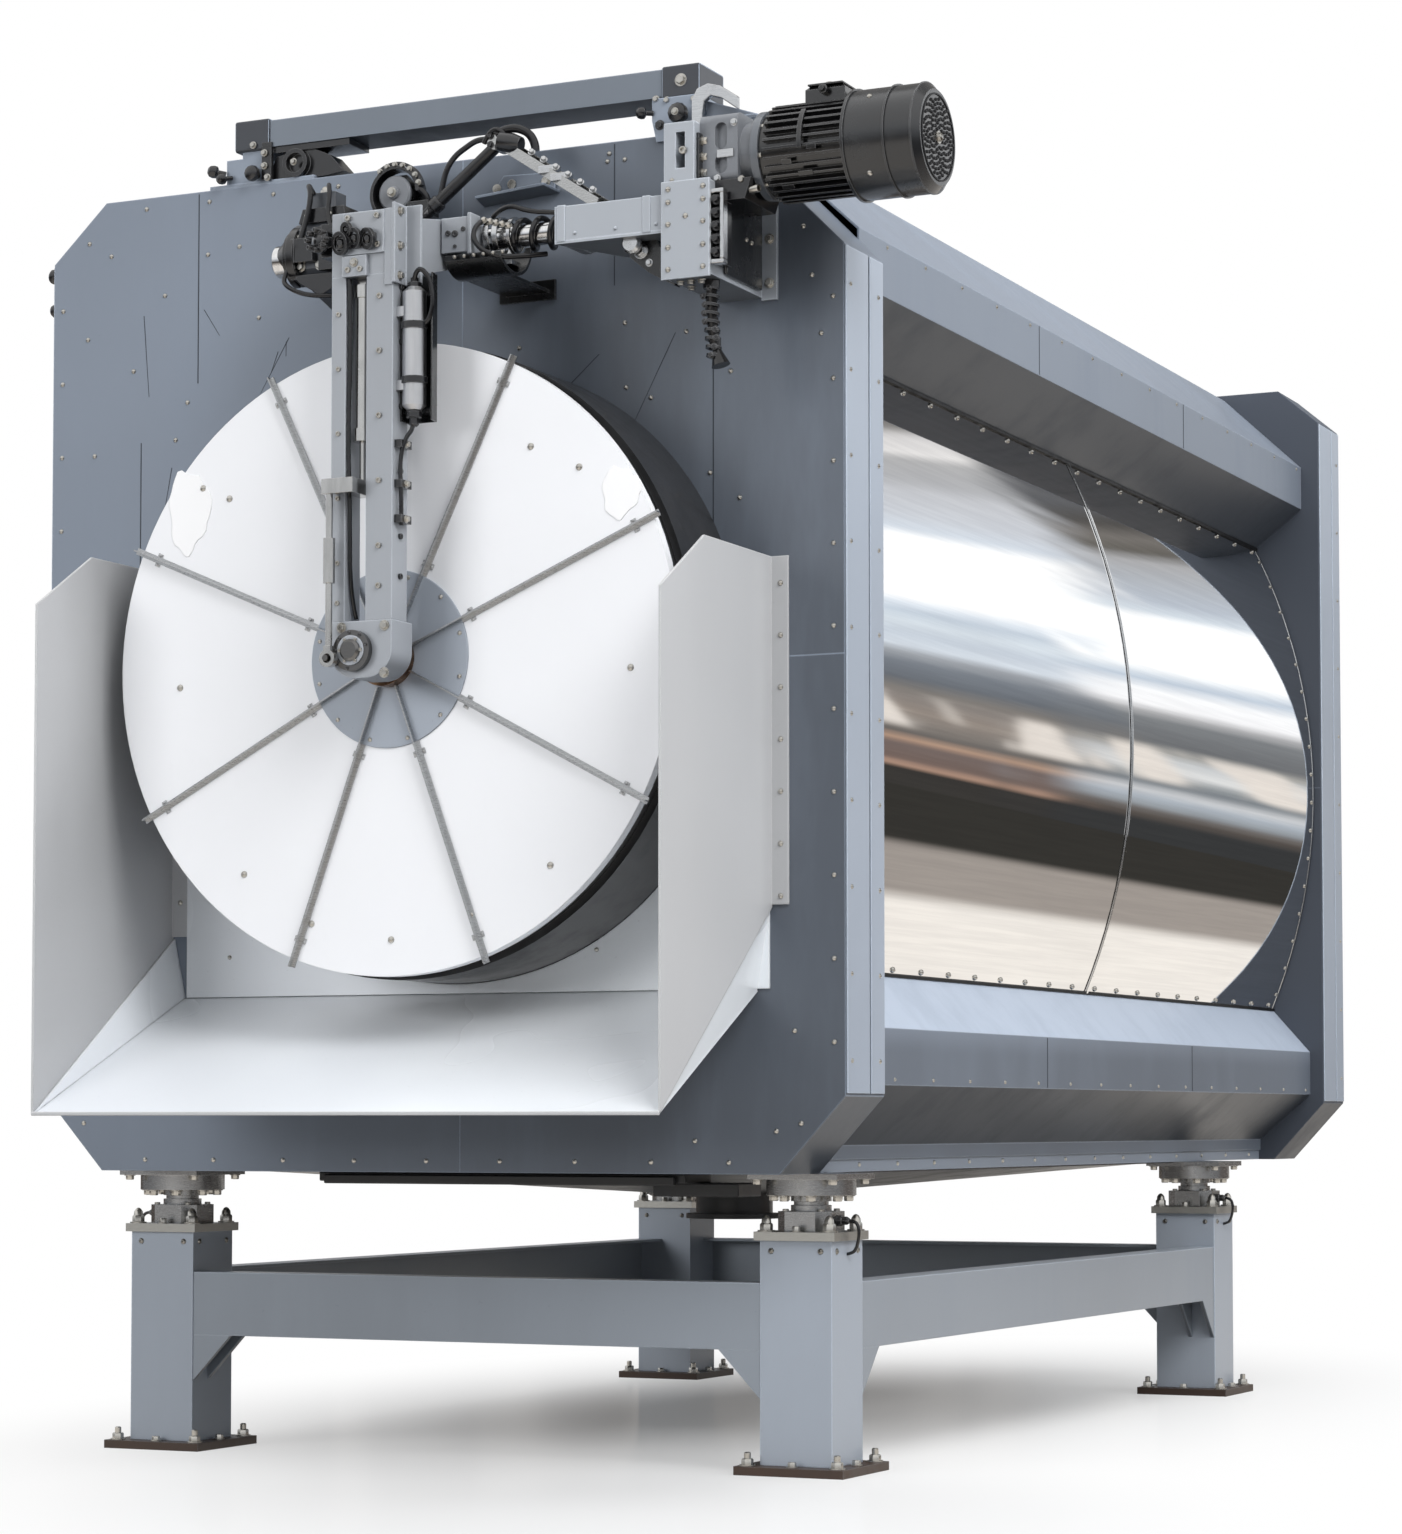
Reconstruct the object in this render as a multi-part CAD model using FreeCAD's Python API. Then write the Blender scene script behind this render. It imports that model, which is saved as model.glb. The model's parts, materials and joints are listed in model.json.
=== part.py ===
import FreeCAD, Part
import math
import os

os.makedirs("parts", exist_ok=True)

V = FreeCAD.Vector

# Rotary drum filter on a four-leg stand, in millimetres.
# X runs from side to side, +Y from the discharge door to the feed end, Z up.
# The origin is on the floor, in the middle of the four legs.

# Stand
LEG_SPAN_X = 1528.0          # between leg centres, side to side
LEG_SPAN_Y = 2554.0          # between leg centres, front to back
COLUMN = 160.0               # square tube
COLUMN_WALL = 8.0
FOOT_PLATE = 243.0
FOOT_THICKNESS = 18.0
ANCHOR_PITCH = 199.0         # hole to hole along a foot plate's side
ANCHOR_HOLE_R = 9.0
CAP_PLATE = 180.0
CAP_THICKNESS = 18.0
STAND_HEIGHT = 494.0         # floor to the top of the cap plates
BEAM_TOP = 389.0
BEAM_HEIGHT = 138.0
BEAM_FLANGE = 70.0
BEAM_WALL = 7.0
BEAM_RECESS = 2.0            # beam face behind the column's face
GUSSET_RUN = 95.0
GUSSET_DROP = 100.0
GUSSET_THICKNESS = 10.0

# Load cell stack between each leg and the casing
CELL_BASE = 120.0
CELL_BASE_CHAMFER = 26.0
CELL_BASE_HEIGHT = 41.0
CELL_NECK_R = 42.0
CELL_GROOVE_DEPTH = 6.0
CELL_GROOVE_HEIGHT = 8.0
CELL_NECK_HEIGHT = 33.0
CELL_FLANGE_R = 93.0
CELL_FLANGE_HEIGHT = 33.0
PAD_PLATE = 200.0
PAD_THICKNESS = 12.0

# Casing end frames
FRONT_OVERHANG = 256.0       # front panel's face ahead of the front legs' centres
CASING_LENGTH = 3605.0       # over both end frames
FRAME_DEPTH = 199.0
FRAME_SHEET = 6.0
FRAME_LIP = 60.0
FRONT_PANEL_TOP = 2740.0
REAR_FRAME_TOP = 2780.0
BOTTOM_CHAMFER_X = 144.0
BOTTOM_CHAMFER_Z = 157.0
FRONT_LEFT_CHAMFER_X = 136.0
FRONT_LEFT_CHAMFER_Z = 125.0
FRONT_RIGHT_CHAMFER_X = 259.0
FRONT_RIGHT_CHAMFER_Z = 260.0
REAR_TOP_CHAMFER_X = 115.0
REAR_TOP_CHAMFER_Z = 98.0
PANEL_BORE_CLEARANCE = 6.0   # front panel's opening round the drum's neck
REAR_BORE_CLEARANCE = 20.0   # rear frame's opening round the riding ring

# Casing sides, between the end frames
RAIL_OUTER_X = 762.0
RAIL_WIDTH = 60.0
RAIL_HEIGHT = 56.0
RAIL_WALL = 6.0
FASCIA_LOW_X = 912.0
FASCIA_LOW_Z0 = 794.0
FASCIA_LOW_Z1 = 912.0
SKIN_FOOT_X = 806.0
SKIN_FOOT_Z = 1030.0
SKIN_CLEARANCE = 59.0        # riding ring to the side skin at its widest
SKIN_INSET = 19.0            # widest skin inside the end frames' sides
SKIN_BELLY_Z = 1650.0
SKIN_HEAD_X = 765.0
SKIN_HEAD_Z = 2335.0
SKIN_SHEET = 3.0
SKIN_SEAM_BACK = 1830.0      # seam between the two skins, behind the panel's face
SEAM_WIDTH = 10.0
SEAM_HEIGHT = 5.0
FASCIA_HIGH_X = 900.0
FASCIA_HIGH_Z0 = 2440.0
FASCIA_HIGH_Z1 = 2557.0
ROOF_EDGE_X = 678.0
ROOF_Z = 2765.0
COWL_SHEET = 5.0
COWL_LAP = 30.0

# Drum
DRUM_X = 80.0                # drum axis, to the right of the casing's middle
DRUM_Z = 1652.0
NECK_R = 630.0
NECK_SHEET = 8.0
NECK_PROUD = 262.0           # neck's mouth ahead of the panel's face
NECK_BACK = 250.0            # where the neck meets the cone, behind the panel's face
CONE_LENGTH = 150.0
BARREL_R = 757.0
BARREL_SHEET = 6.0
BARREL_LENGTH = 2750.0
HEAD_SHEET = 10.0
HEAD_HOLE_R = 230.0
STAVE_COUNT = 24
STAVE_WIDTH = 36.0
STAVE_HEIGHT = 14.0
LIFTER_COUNT = 6
LIFTER_HEIGHT = 110.0
LIFTER_SHEET = 8.0
LIFTER_FIT = 0.1
RING_FIT = 0.25              # riding ring over the staves
RING_THICKNESS = 20.75
RING_WIDTH = 90.0
RING_FRONT_BACK = 520.0      # front riding ring's middle, behind the panel's face
RING_PITCH = 2290.0
COLLAR_LENGTH = 232.0        # fixed collar round the neck, ahead of the panel's face
COLLAR_THICKNESS = 16.0
COLLAR_GAP = 0.6

# Trunnion rollers under the riding rings
ROLLER_R = 90.0
ROLLER_WIDTH = 80.0
ROLLER_SPREAD = 505.0        # roller axis to drum axis, sideways
ROLLER_GAP = 0.3
ROLLER_SHAFT_R = 35.0
SHAFT_FIT = 0.05
PEDESTAL_THICKNESS = 40.0
PEDESTAL_BASE = 230.0
PEDESTAL_HEAD_R = 62.0
PEDESTAL_STANDOFF = 78.0     # pedestal's middle from the ring's middle
CROSS_MEMBER_WIDTH = 230.0
SHAFT_OVERHANG = 90.0
SHAFT_HOLE_CLEARANCE = 3.0   # driven shaft through the rear frame and cover

# Gearmotor of the driven roller shaft
GEARBOX_HALF = 125.0
GEARBOX_LENGTH = 150.0
GEARBOX_CORNER_R = 20.0
SHAFT_END_GAP = 50.0         # bore in the gearbox past the shaft's end
DRUM_MOTOR_R = 85.0
DRUM_MOTOR_FLANGE_R = 100.0
DRUM_MOTOR_LENGTH = 240.0
DRUM_MOTOR_COWL = 90.0

# Feed pipe at the rear
FEED_R = 150.0
FEED_SHEET = 8.0
FEED_INSIDE = 520.0          # pipe inside the rear cover
FEED_OUTSIDE = 150.0
FLANGE_R = 222.5
FLANGE_THICKNESS = 26.0
FLANGE_PCD = 400.0
FLANGE_HOLES = 12
FLANGE_HOLE_R = 11.0

# Drain pan
PAN_LENGTH = 2280.0
PAN_DROP = 70.0
PAN_SHEET = 4.0
PAN_RIM = 20.0
PAN_FRONT_BACK = 400.0
SUMP_R = 110.0               # half of the square plate round the outlet
SUMP_HEIGHT = 60.0
OUTLET_R = 94.0
OUTLET_FLANGE = 12.0
OUTLET_FLANGE_WIDTH = 24.0

# Discharge chute
CHUTE_HALF = 709.0           # wing to drum axis
CHUTE_REACH = 515.0
WING_TOP_LEFT = 1900.0
WING_TOP_RIGHT = 1855.0
WING_TOP_RUN = 320.0
WING_FRONT_DROP = 122.0      # top corner to front corner
CHUTE_LIP_Z = 736.0
CHUTE_FLOOR_BACK_Z = 985.0
CHUTE_CORNER_INSET = 30.0
WING_FOOT_LEFT = 1112.0
WING_FOOT_RIGHT = 1148.0
CHUTE_SHEET = 5.0
WING_FLANGE = 40.0
BACK_PLATE_TOP = 1300.0
BACK_PLATE_CLEARANCE = 1.0

# Door arm and its torque shaft
SHAFT_AHEAD = 185.0          # torque shaft axis ahead of the panel's face
SHAFT_Z = 2516.0
TORQUE_SHAFT_R = 22.5
TORQUE_SHAFT_X0 = -246.0
KNOB_R = 34.0
KNOB_LENGTH = 40.0
KNOB_CAP = 16.0              # knob beyond the shaft's end
SLEEVE_HALF = 29.0
SLEEVE_LENGTH = 68.0
ARM_LEFT_X = 24.0
ARM_RIGHT_X = 164.0
LEFT_STRUT_W = 32.0
RIGHT_STRUT_W = 60.0
STRUT_DEPTH = 60.0
STRUT_WALL = 4.0
ARM_FACE_AHEAD = 440.0       # arm's front face ahead of the panel's face
ARM_HEAD_TOP = 2534.0
ARM_HEAD_BOTTOM = 2406.0
HUB_RISE = 60.0              # hub housing above and below the spindle's axis
HUB_FALL = 54.0
BOSS_R = 30.0
BOSS_LENGTH = 18.0
SPINDLE_R = 22.0
CLAMP_STROKE = 10.0          # travel of the spindle that frees the door from the neck
HUB_RUNNING_GAP = 6.0        # left between the arm and the door's hub at full stroke
CRANK_R = 46.0               # spindle axis to crank pin
CRANK_RING_R = 41.0
CRANK_THICKNESS = 14.0
CRANK_GAP = 1.5
CRANK_PIN_LENGTH = 28.0
CRANK_PIN_R = 6.0
CRANK_EAR_WALL = 6.0
CRANK_START_DEG = 20.0       # crank pin below the spindle at rest
ROD_EYE_CLEARANCE = 3.2
ROD_EYE_WALL = 8.0
ROD_BEFORE_BOSS = 10.0       # pull rod's middle ahead of the boss's end
ROD_BAR_HALF = 8.0
ROD_BAR_HEIGHT = 30.0
ROD_CLEVIS_HALF = 14.0
ROD_R = 7.0
TURNBUCKLE_R = 12.0
TURNBUCKLE_RISE = 150.0      # above the crank pin
TURNBUCKLE_LENGTH = 90.0
CYLINDER_X = 80.0
CYLINDER_R = 20.0
CYLINDER_STEP = 3.0
CYLINDER_CAP = 26.0
CYLINDER_TOP = 2390.0
CYLINDER_BOTTOM = 2075.0
CYLINDER_ROD_R = 8.0
PISTON_IN_CYLINDER = 120.0
ROD_EYE_Z = 1995.0
ARM_HEAD_HALF = 40.0         # arm's head above and below the torque shaft
SHAFT_CHAMFER = 4.0
CANISTER_R = 24.0
CANISTER_OUT = 30.0          # canister's axis beside the arm
CANISTER_BACK = 34.0
CANISTER_CHAMFER = 10.0
CANISTER_Z0 = 2130.0
CANISTER_DROP = 28.0         # canister's top under the head
STRAP_WIDTH = 20.0
GUARD_WIDTH = 64.0
GUARD_CLEARANCE = 6.0
GUARD_LAP = 30.0
GUARD_SHEET = 3.0
GUARD_Z0 = 2110.0

# Door
DOOR_R = 642.0
DOOR_FACE_AHEAD = 300.0
DOOR_SHEET = 8.0
DOOR_RIM_DEPTH = 24.0
DOOR_RIM_SHEET = 8.0
DOOR_SEAL_GAP = 0.3
RIB_ANGLES = (25.5, 67.0, 118.0, 160.0)  # from straight up, the same to both sides
RIB_WIDTH = 14.0
RIB_HEIGHT = 16.0
RIB_OVERRUN = 16.0
CENTRE_PLATE_R = 181.0
CENTRE_PLATE_SHEET = 3.0
DOOR_HUB_R = 58.0
DOOR_HUB_LENGTH = 42.0
HUB_NOSE_STEP = 12.0
HUB_FLANGE_WIDTH = 14.0
HUB_FLANGE_LENGTH = 10.0
RIB_SHEET = 3.0
RIB_FOOT_GAP = 2.0           # rib's foot outside the hub
NOSE_PROUD = 8.0             # spindle's nose ahead of the arm's boss
NOSE_CHAMFER = 5.0
WASHER_GAP = 1.0
WASHER_WIDTH = 16.0
WASHER_THICKNESS = 8.0

# Carrier and gearmotor of the arm
BEARING_X0 = -196.0
BEARING_X1 = -62.0
BEARING_HALF = 44.0
BEARING_RISE = 66.0
BEARING_CHAMFER = 14.0
BEARING_FLANGE = 16.0
BEARING_FLANGE_R = 56.0
BEARING_CAP_HALF = 22.0
BEARING_CAP_HEIGHT = 66.0
BRACKET_SHEET = 10.0
BRACKET_DEPTH = 120.0        # bracket's back plate under the torque shaft
BRACKET_RISE = 80.0
SADDLE_X0 = 172.0
SADDLE_X1 = 302.0
SADDLE_R = 72.0
SADDLE_SHEET = 7.0
SADDLE_FRONT = 60.0          # saddle's front edge ahead of the torque shaft
LEVER_LENGTH = 100.0
LEVER_WIDTH = 30.0
LEVER_DROP = 96.0
LEVER_HALF = 12.0
LEVER_GAP = 4.0
GUSSET_SHEET = 6.0           # pale plate under the housing
GUSSET_SETBACK = 120.0
CARRIER_X0 = 672.0
CARRIER_X1 = 772.0
CARRIER_FACE_AHEAD = 255.0
CARRIER_Z0 = 2382.0
CARRIER_Z1 = 2570.0
CARRIER_SHEET = 8.0
POST_X1 = 738.0
POST_TOP = 2690.0
HOUSING_X0 = 424.0
HOUSING_DEPTH = 120.0
HOUSING_HEIGHT = 70.0
MOTOR_AHEAD = 150.0
MOTOR_Z = 2628.0
GEARCASE_X1 = 850.0
GEARCASE_HALF = 78.0
MOTOR_FLANGE_R = 88.0
MOTOR_FLANGE_T = 16.0
MOTOR_BODY_R = 82.0
MOTOR_BODY_X1 = 1062.0
FIN_COUNT = 32
FIN_HEIGHT = 14.0
FIN_WIDTH = 5.0
FIN_FIT = 0.1                # terminal box and cowl ring over the fins
TERMINAL_X0 = 950.0
TERMINAL_LENGTH = 85.0
TERMINAL_HEIGHT = 24.0
COWL_R = 107.0
COWL_X1 = 1212.0
COWL_SHEET_T = 4.0
FAN_R = 84.0
FAN_BLADES = 9

# Conduit, its stay and the sensor under the carrier
GUIDE_X = -32.0              # round boss of the guide bracket
GUIDE_Z = 2660.0
GUIDE_AHEAD = 60.0
GUIDE_HALF = 66.0
GUIDE_DROP = 52.0
GUIDE_RISE = 46.0
GUIDE_BOSS = 22.0
GUIDE_BOSS_R = 27.0
CLIP_OVERHANG = 16.0
CONDUIT_AHEAD = 84.0
CONDUIT_R = 13.0
THIN_CONDUIT_R = 6.0
KNUCKLE_X = 215.0
KNUCKLE_Z = 2744.0
KNUCKLE_R = 21.0
STAY_FOOT_X = 500.0
GOOSENECK_X = 748.0
GOOSENECK_BACK = 60.0        # behind the carrier's front plate
GOOSENECK_SOCKET = 14.0
GOOSENECK_SOCKET_R = 17.0
GOOSENECK_JOINTS = 6
GOOSENECK_PITCH = 24.0
GOOSENECK_SEAT = 3.0         # each joint's depth in the one above
GOOSENECK_R = 13.0
GOOSENECK_TIP_R = 8.0
GOOSENECK_TURN = 0.055       # radians that each joint turns on
SENSOR_R = 19.0
SENSOR_LENGTH = 34.0

# Top beam
TOP_BEAM_X0 = -480.0
TOP_BEAM_X1 = 631.0
TOP_BEAM_DEPTH = 110.0
TOP_BEAM_Z0 = 2820.0
TOP_BEAM_HEIGHT = 58.0
END_BLOCK = 84.0

# Places that follow from the sizes above
RING_R = BARREL_R + STAVE_HEIGHT + RING_FIT + RING_THICKNESS
SKIN_BELLY_X = DRUM_X + RING_R + SKIN_CLEARANCE
CASING_W = 2 * (SKIN_BELLY_X + SKIN_INSET)
LEG_X = LEG_SPAN_X / 2
LEG_Y = LEG_SPAN_Y / 2
FACE_Y = -LEG_Y - FRONT_OVERHANG
REAR_Y = FACE_Y + CASING_LENGTH
SIDE_Y0 = FACE_Y + FRAME_DEPTH
SIDE_Y1 = REAR_Y - FRAME_DEPTH
COLUMN_TOP = STAND_HEIGHT - CAP_THICKNESS
CELL_NECK_Z = STAND_HEIGHT + CELL_BASE_HEIGHT
CELL_FLANGE_Z = CELL_NECK_Z + CELL_NECK_HEIGHT
PAD_Z = CELL_FLANGE_Z + CELL_FLANGE_HEIGHT
CASING_Z = PAD_Z + PAD_THICKNESS
RAIL_TOP = CASING_Z + RAIL_HEIGHT
BARREL_Y0 = FACE_Y + NECK_BACK + CONE_LENGTH
BARREL_Y1 = BARREL_Y0 + BARREL_LENGTH
RING_YS = (FACE_Y + RING_FRONT_BACK, FACE_Y + RING_FRONT_BACK + RING_PITCH)
ROLLER_REACH = RING_R + ROLLER_R + ROLLER_GAP
ROLLER_Z = DRUM_Z - math.sqrt(ROLLER_REACH**2 - ROLLER_SPREAD**2)
CHUTE_X0 = DRUM_X - CHUTE_HALF
CHUTE_X1 = DRUM_X + CHUTE_HALF
LIP_Y = FACE_Y - CHUTE_REACH
SHAFT_Y = FACE_Y - SHAFT_AHEAD
ARM_Y0 = FACE_Y - ARM_FACE_AHEAD
ARM_Y1 = ARM_Y0 + STRUT_DEPTH
HUB_TOP = DRUM_Z + HUB_RISE
HUB_BOTTOM = DRUM_Z - HUB_FALL
DOOR_Y0 = FACE_Y - DOOR_FACE_AHEAD
HUB_Y1 = DOOR_Y0 - DOOR_HUB_LENGTH - CLAMP_STROKE - HUB_RUNNING_GAP
DOOR_RIM_Y1 = DOOR_Y0 + DOOR_RIM_DEPTH
NECK_Y0 = FACE_Y - NECK_PROUD
COLLAR_R = NECK_R + COLLAR_GAP + COLLAR_THICKNESS
CARRIER_Y0 = FACE_Y - CARRIER_FACE_AHEAD
MOTOR_Y = FACE_Y - MOTOR_AHEAD
LEGS = [(sx * LEG_X, sy * LEG_Y) for sy in (-1, 1) for sx in (-1, 1)]


def block(x0, x1, y0, y1, z0, z1):
    """Box between two corners."""
    return Part.makeBox(x1 - x0, y1 - y0, z1 - z0, V(x0, y0, z0))


def rod_x(x0, x1, y, z, r):
    return Part.makeCylinder(r, x1 - x0, V(x0, y, z), V(1, 0, 0))


def rod_y(y0, y1, x, z, r):
    return Part.makeCylinder(r, y1 - y0, V(x, y0, z), V(0, 1, 0))


def rod_z(z0, z1, x, y, r):
    return Part.makeCylinder(r, z1 - z0, V(x, y, z0), V(0, 0, 1))


def tube_y(y0, y1, x, z, r, wall):
    return rod_y(y0, y1, x, z, r).cut(rod_y(y0 - 1, y1 + 1, x, z, r - wall))


def plate_xz(points, y0, y1):
    """Flat outline in X and Z, extruded from y0 to y1."""
    wire = Part.makePolygon([V(x, y0, z) for x, z in points + points[:1]])
    return Part.Face(wire).extrude(V(0, y1 - y0, 0))


def plate_yz(points, x0, x1):
    """Flat outline in Y and Z, extruded from x0 to x1."""
    wire = Part.makePolygon([V(x0, y, z) for y, z in points + points[:1]])
    return Part.Face(wire).extrude(V(x1 - x0, 0, 0))


def plate_xy(points, z0, z1):
    """Flat outline in X and Y, extruded from z0 to z1."""
    wire = Part.makePolygon([V(x, y, z0) for x, y in points + points[:1]])
    return Part.Face(wire).extrude(V(0, 0, z1 - z0))


def sheet(corners, thickness):
    """Flat sheet on three or more corners, thickened along its normal."""
    wire = Part.makePolygon(corners + corners[:1])
    normal = (corners[1] - corners[0]).cross(corners[2] - corners[0])
    normal.normalize()
    return Part.Face(wire).extrude(normal * thickness)


def fold(points, thickness):
    """Closed outline of a folded sheet: its outer line and the same line set in."""
    inner = []
    last = len(points) - 1
    for i, (x, z) in enumerate(points):
        normals = []
        for a, b in ((i - 1, i), (i, i + 1)):
            if a >= 0 and b <= last:
                dx, dz = points[b][0] - points[a][0], points[b][1] - points[a][1]
                length = math.hypot(dx, dz)
                normals.append((-dz / length, dx / length))
        nx = sum(n[0] for n in normals)
        nz = sum(n[1] for n in normals)
        size = math.hypot(nx, nz)
        nx, nz = nx / size, nz / size
        reach = thickness / (nx * normals[0][0] + nz * normals[0][1])
        inner.append((x + nx * reach, z + nz * reach))
    return points + inner[::-1]


def lathe_y(profile, x, z, sweep=360):
    """Solid of revolution about an axis along Y, from points of (y, radius)."""
    wire = Part.makePolygon([V(x + r, y, z) for y, r in profile + profile[:1]])
    return Part.Face(wire).revolve(V(x, 0, z), V(0, 1, 0), sweep)


def lathe_x(profile, y, z):
    """Solid of revolution about an axis along X, from points of (x, radius)."""
    wire = Part.makePolygon([V(px, y, z + r) for px, r in profile + profile[:1]])
    return Part.Face(wire).revolve(V(0, y, z), V(1, 0, 0), 360)


def lathe_z(profile, x, y):
    """Solid of revolution about an axis along Z, from points of (radius, z)."""
    wire = Part.makePolygon([V(x + r, y, z) for r, z in profile + profile[:1]])
    return Part.Face(wire).revolve(V(x, y, 0), V(0, 0, 1), 360)


def fuse(first, *others):
    return first.fuse(list(others)).removeSplitter()


def mirrored(shape):
    """The same piece on the other side of the casing's middle plane."""
    return shape.mirror(V(0, 0, 0), V(1, 0, 0))


def save(name, *solids):
    shape = solids[0] if len(solids) == 1 else Part.makeCompound(list(solids))
    shape.exportStep(os.path.join("parts", name + ".step"))


def channel(length, height, flange, wall):
    """Channel along X from the origin, its web at y = 0 and open towards +Y."""
    outer = block(0, length, 0, flange, 0, height)
    return outer.cut(block(-1, length + 1, wall, flange + 1, wall, height - wall))


def placed(shape, x, y, z, turn=0):
    """Copy turned about Z through the origin, then moved."""
    copy = shape.copy()
    copy.rotate(V(0, 0, 0), V(0, 0, 1), turn)
    copy.translate(V(x, y, z))
    return copy


# Stand

def foot_plate(x, y):
    half = FOOT_PLATE / 2
    plate = block(x - half, x + half, y - half, y + half, 0, FOOT_THICKNESS)
    for dx in (-ANCHOR_PITCH / 2, ANCHOR_PITCH / 2):
        for dy in (-ANCHOR_PITCH / 2, ANCHOR_PITCH / 2):
            plate = plate.cut(rod_z(-1, FOOT_THICKNESS + 1, x + dx, y + dy, ANCHOR_HOLE_R))
    return plate


def column(x, y):
    half = COLUMN / 2
    outer = block(x - half, x + half, y - half, y + half, FOOT_THICKNESS, COLUMN_TOP)
    core = half - COLUMN_WALL
    return outer.cut(block(x - core, x + core, y - core, y + core, 0, COLUMN_TOP + 1))


def beams_across():
    length = LEG_SPAN_X - COLUMN
    beam = channel(length, BEAM_HEIGHT, BEAM_FLANGE, BEAM_WALL)
    low = BEAM_TOP - BEAM_HEIGHT
    y = LEG_Y + COLUMN / 2 - BEAM_RECESS
    return [placed(beam, -length / 2, -y, low), placed(beam, length / 2, y, low, 180)]


def beams_along():
    length = LEG_SPAN_Y - COLUMN
    beam = channel(length, BEAM_HEIGHT, BEAM_FLANGE, BEAM_WALL)
    low = BEAM_TOP - BEAM_HEIGHT
    x = LEG_X + COLUMN / 2 - BEAM_RECESS
    return [placed(beam, x, -length / 2, low, 90), placed(beam, -x, length / 2, low, -90)]


def gussets():
    """Triangular plates in each corner between a column and a beam's underside."""
    top = BEAM_TOP - BEAM_HEIGHT
    half = COLUMN / 2
    inner = half - BEAM_FLANGE + GUSSET_THICKNESS - BEAM_RECESS
    plates = []
    for x, y in LEGS:
        sx, sy = math.copysign(1, x), math.copysign(1, y)
        for offset in (half - BEAM_RECESS, inner):
            ax = x - sx * half
            ay = y + sy * offset
            corners = [(ax, top), (ax - sx * GUSSET_RUN, top), (ax, top - GUSSET_DROP)]
            plates.append(plate_xz(corners, ay, ay - sy * GUSSET_THICKNESS))
            bx = x + sx * offset
            by = y - sy * half
            corners = [(by, top), (by - sy * GUSSET_RUN, top), (by, top - GUSSET_DROP)]
            plates.append(plate_yz(corners, bx, bx - sx * GUSSET_THICKNESS))
    return plates


def chamfered_square(x, y, side, chamfer):
    h = side / 2
    c = h - chamfer
    corners = [(-h, -c), (-c, -h), (c, -h), (h, -c), (h, c), (c, h), (-c, h), (-h, c)]
    return [(x + px, y + py) for px, py in corners]


def cell_neck(x, y):
    low, r = CELL_NECK_Z, CELL_NECK_R
    groove = r - CELL_GROOVE_DEPTH
    mid = low + CELL_NECK_HEIGHT / 2
    profile = [(0, low), (r, low), (r, mid - CELL_GROOVE_HEIGHT / 2), (groove, mid - CELL_GROOVE_HEIGHT / 2),
               (groove, mid + CELL_GROOVE_HEIGHT / 2), (r, mid + CELL_GROOVE_HEIGHT / 2),
               (r, CELL_FLANGE_Z), (0, CELL_FLANGE_Z)]
    return lathe_z(profile, x, y)


def build_stand():
    cap = CAP_PLATE / 2
    pad = PAD_PLATE / 2
    save("foot_plates", *[foot_plate(x, y) for x, y in LEGS])
    save("leg_columns", *[column(x, y) for x, y in LEGS])
    save("stand_beams", *beams_across(), *beams_along(), *gussets())
    save("leg_cap_plates", *[block(x - cap, x + cap, y - cap, y + cap, COLUMN_TOP, STAND_HEIGHT) for x, y in LEGS])
    save("load_cell_bases", *[plate_xy(chamfered_square(x, y, CELL_BASE, CELL_BASE_CHAMFER),
                                       STAND_HEIGHT, CELL_NECK_Z) for x, y in LEGS])
    save("load_cell_necks", *[cell_neck(x, y) for x, y in LEGS])
    save("load_cell_flanges", *[rod_z(CELL_FLANGE_Z, PAD_Z, x, y, CELL_FLANGE_R) for x, y in LEGS],
         *[block(x - pad, x + pad, y - pad, y + pad, PAD_Z, CASING_Z) for x, y in LEGS])


# Casing

def frame_outline(top, left_x, left_z, right_x, right_z, inset=0.0):
    """Chamfered outline of an end frame, set in by the given amount on every side."""
    half = CASING_W / 2 - inset
    low = CASING_Z + inset
    high = top - inset
    cut = inset * 0.55           # keeps the sloping sheet about as thick as the straight ones
    return [(-half + BOTTOM_CHAMFER_X - cut, low), (half - BOTTOM_CHAMFER_X + cut, low),
            (half, low + BOTTOM_CHAMFER_Z - cut), (half, high - right_z + cut),
            (half - right_x + cut, high), (-half + left_x - cut, high),
            (-half, high - left_z + cut), (-half, low + BOTTOM_CHAMFER_Z - cut)]


def quarters(plate):
    """The four sheets of a panel, welded along the drum axis's level and upright lines."""
    box = plate.BoundBox
    sheets = []
    for x0, x1 in ((box.XMin, DRUM_X), (DRUM_X, box.XMax)):
        for z0, z1 in ((box.ZMin, DRUM_Z), (DRUM_Z, box.ZMax)):
            sheets.append(plate.common(block(x0, x1, box.YMin - 1, box.YMax + 1, z0, z1)))
    return sheets


def rim_plates(outer, band, lip, y0, y1):
    """Folded plates round a panel's edge: each a band on its side and a lip turned in at y1."""
    plates = []
    for i in range(len(outer)):
        j = (i + 1) % len(outer)
        side = plate_xz([outer[i], outer[j], band[j], band[i]], y0, y1 - FRAME_SHEET)
        flat = plate_xz([outer[i], outer[j], lip[j], lip[i]], y1 - FRAME_SHEET, y1)
        plates.append(fuse(side, flat))
    return plates


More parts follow.
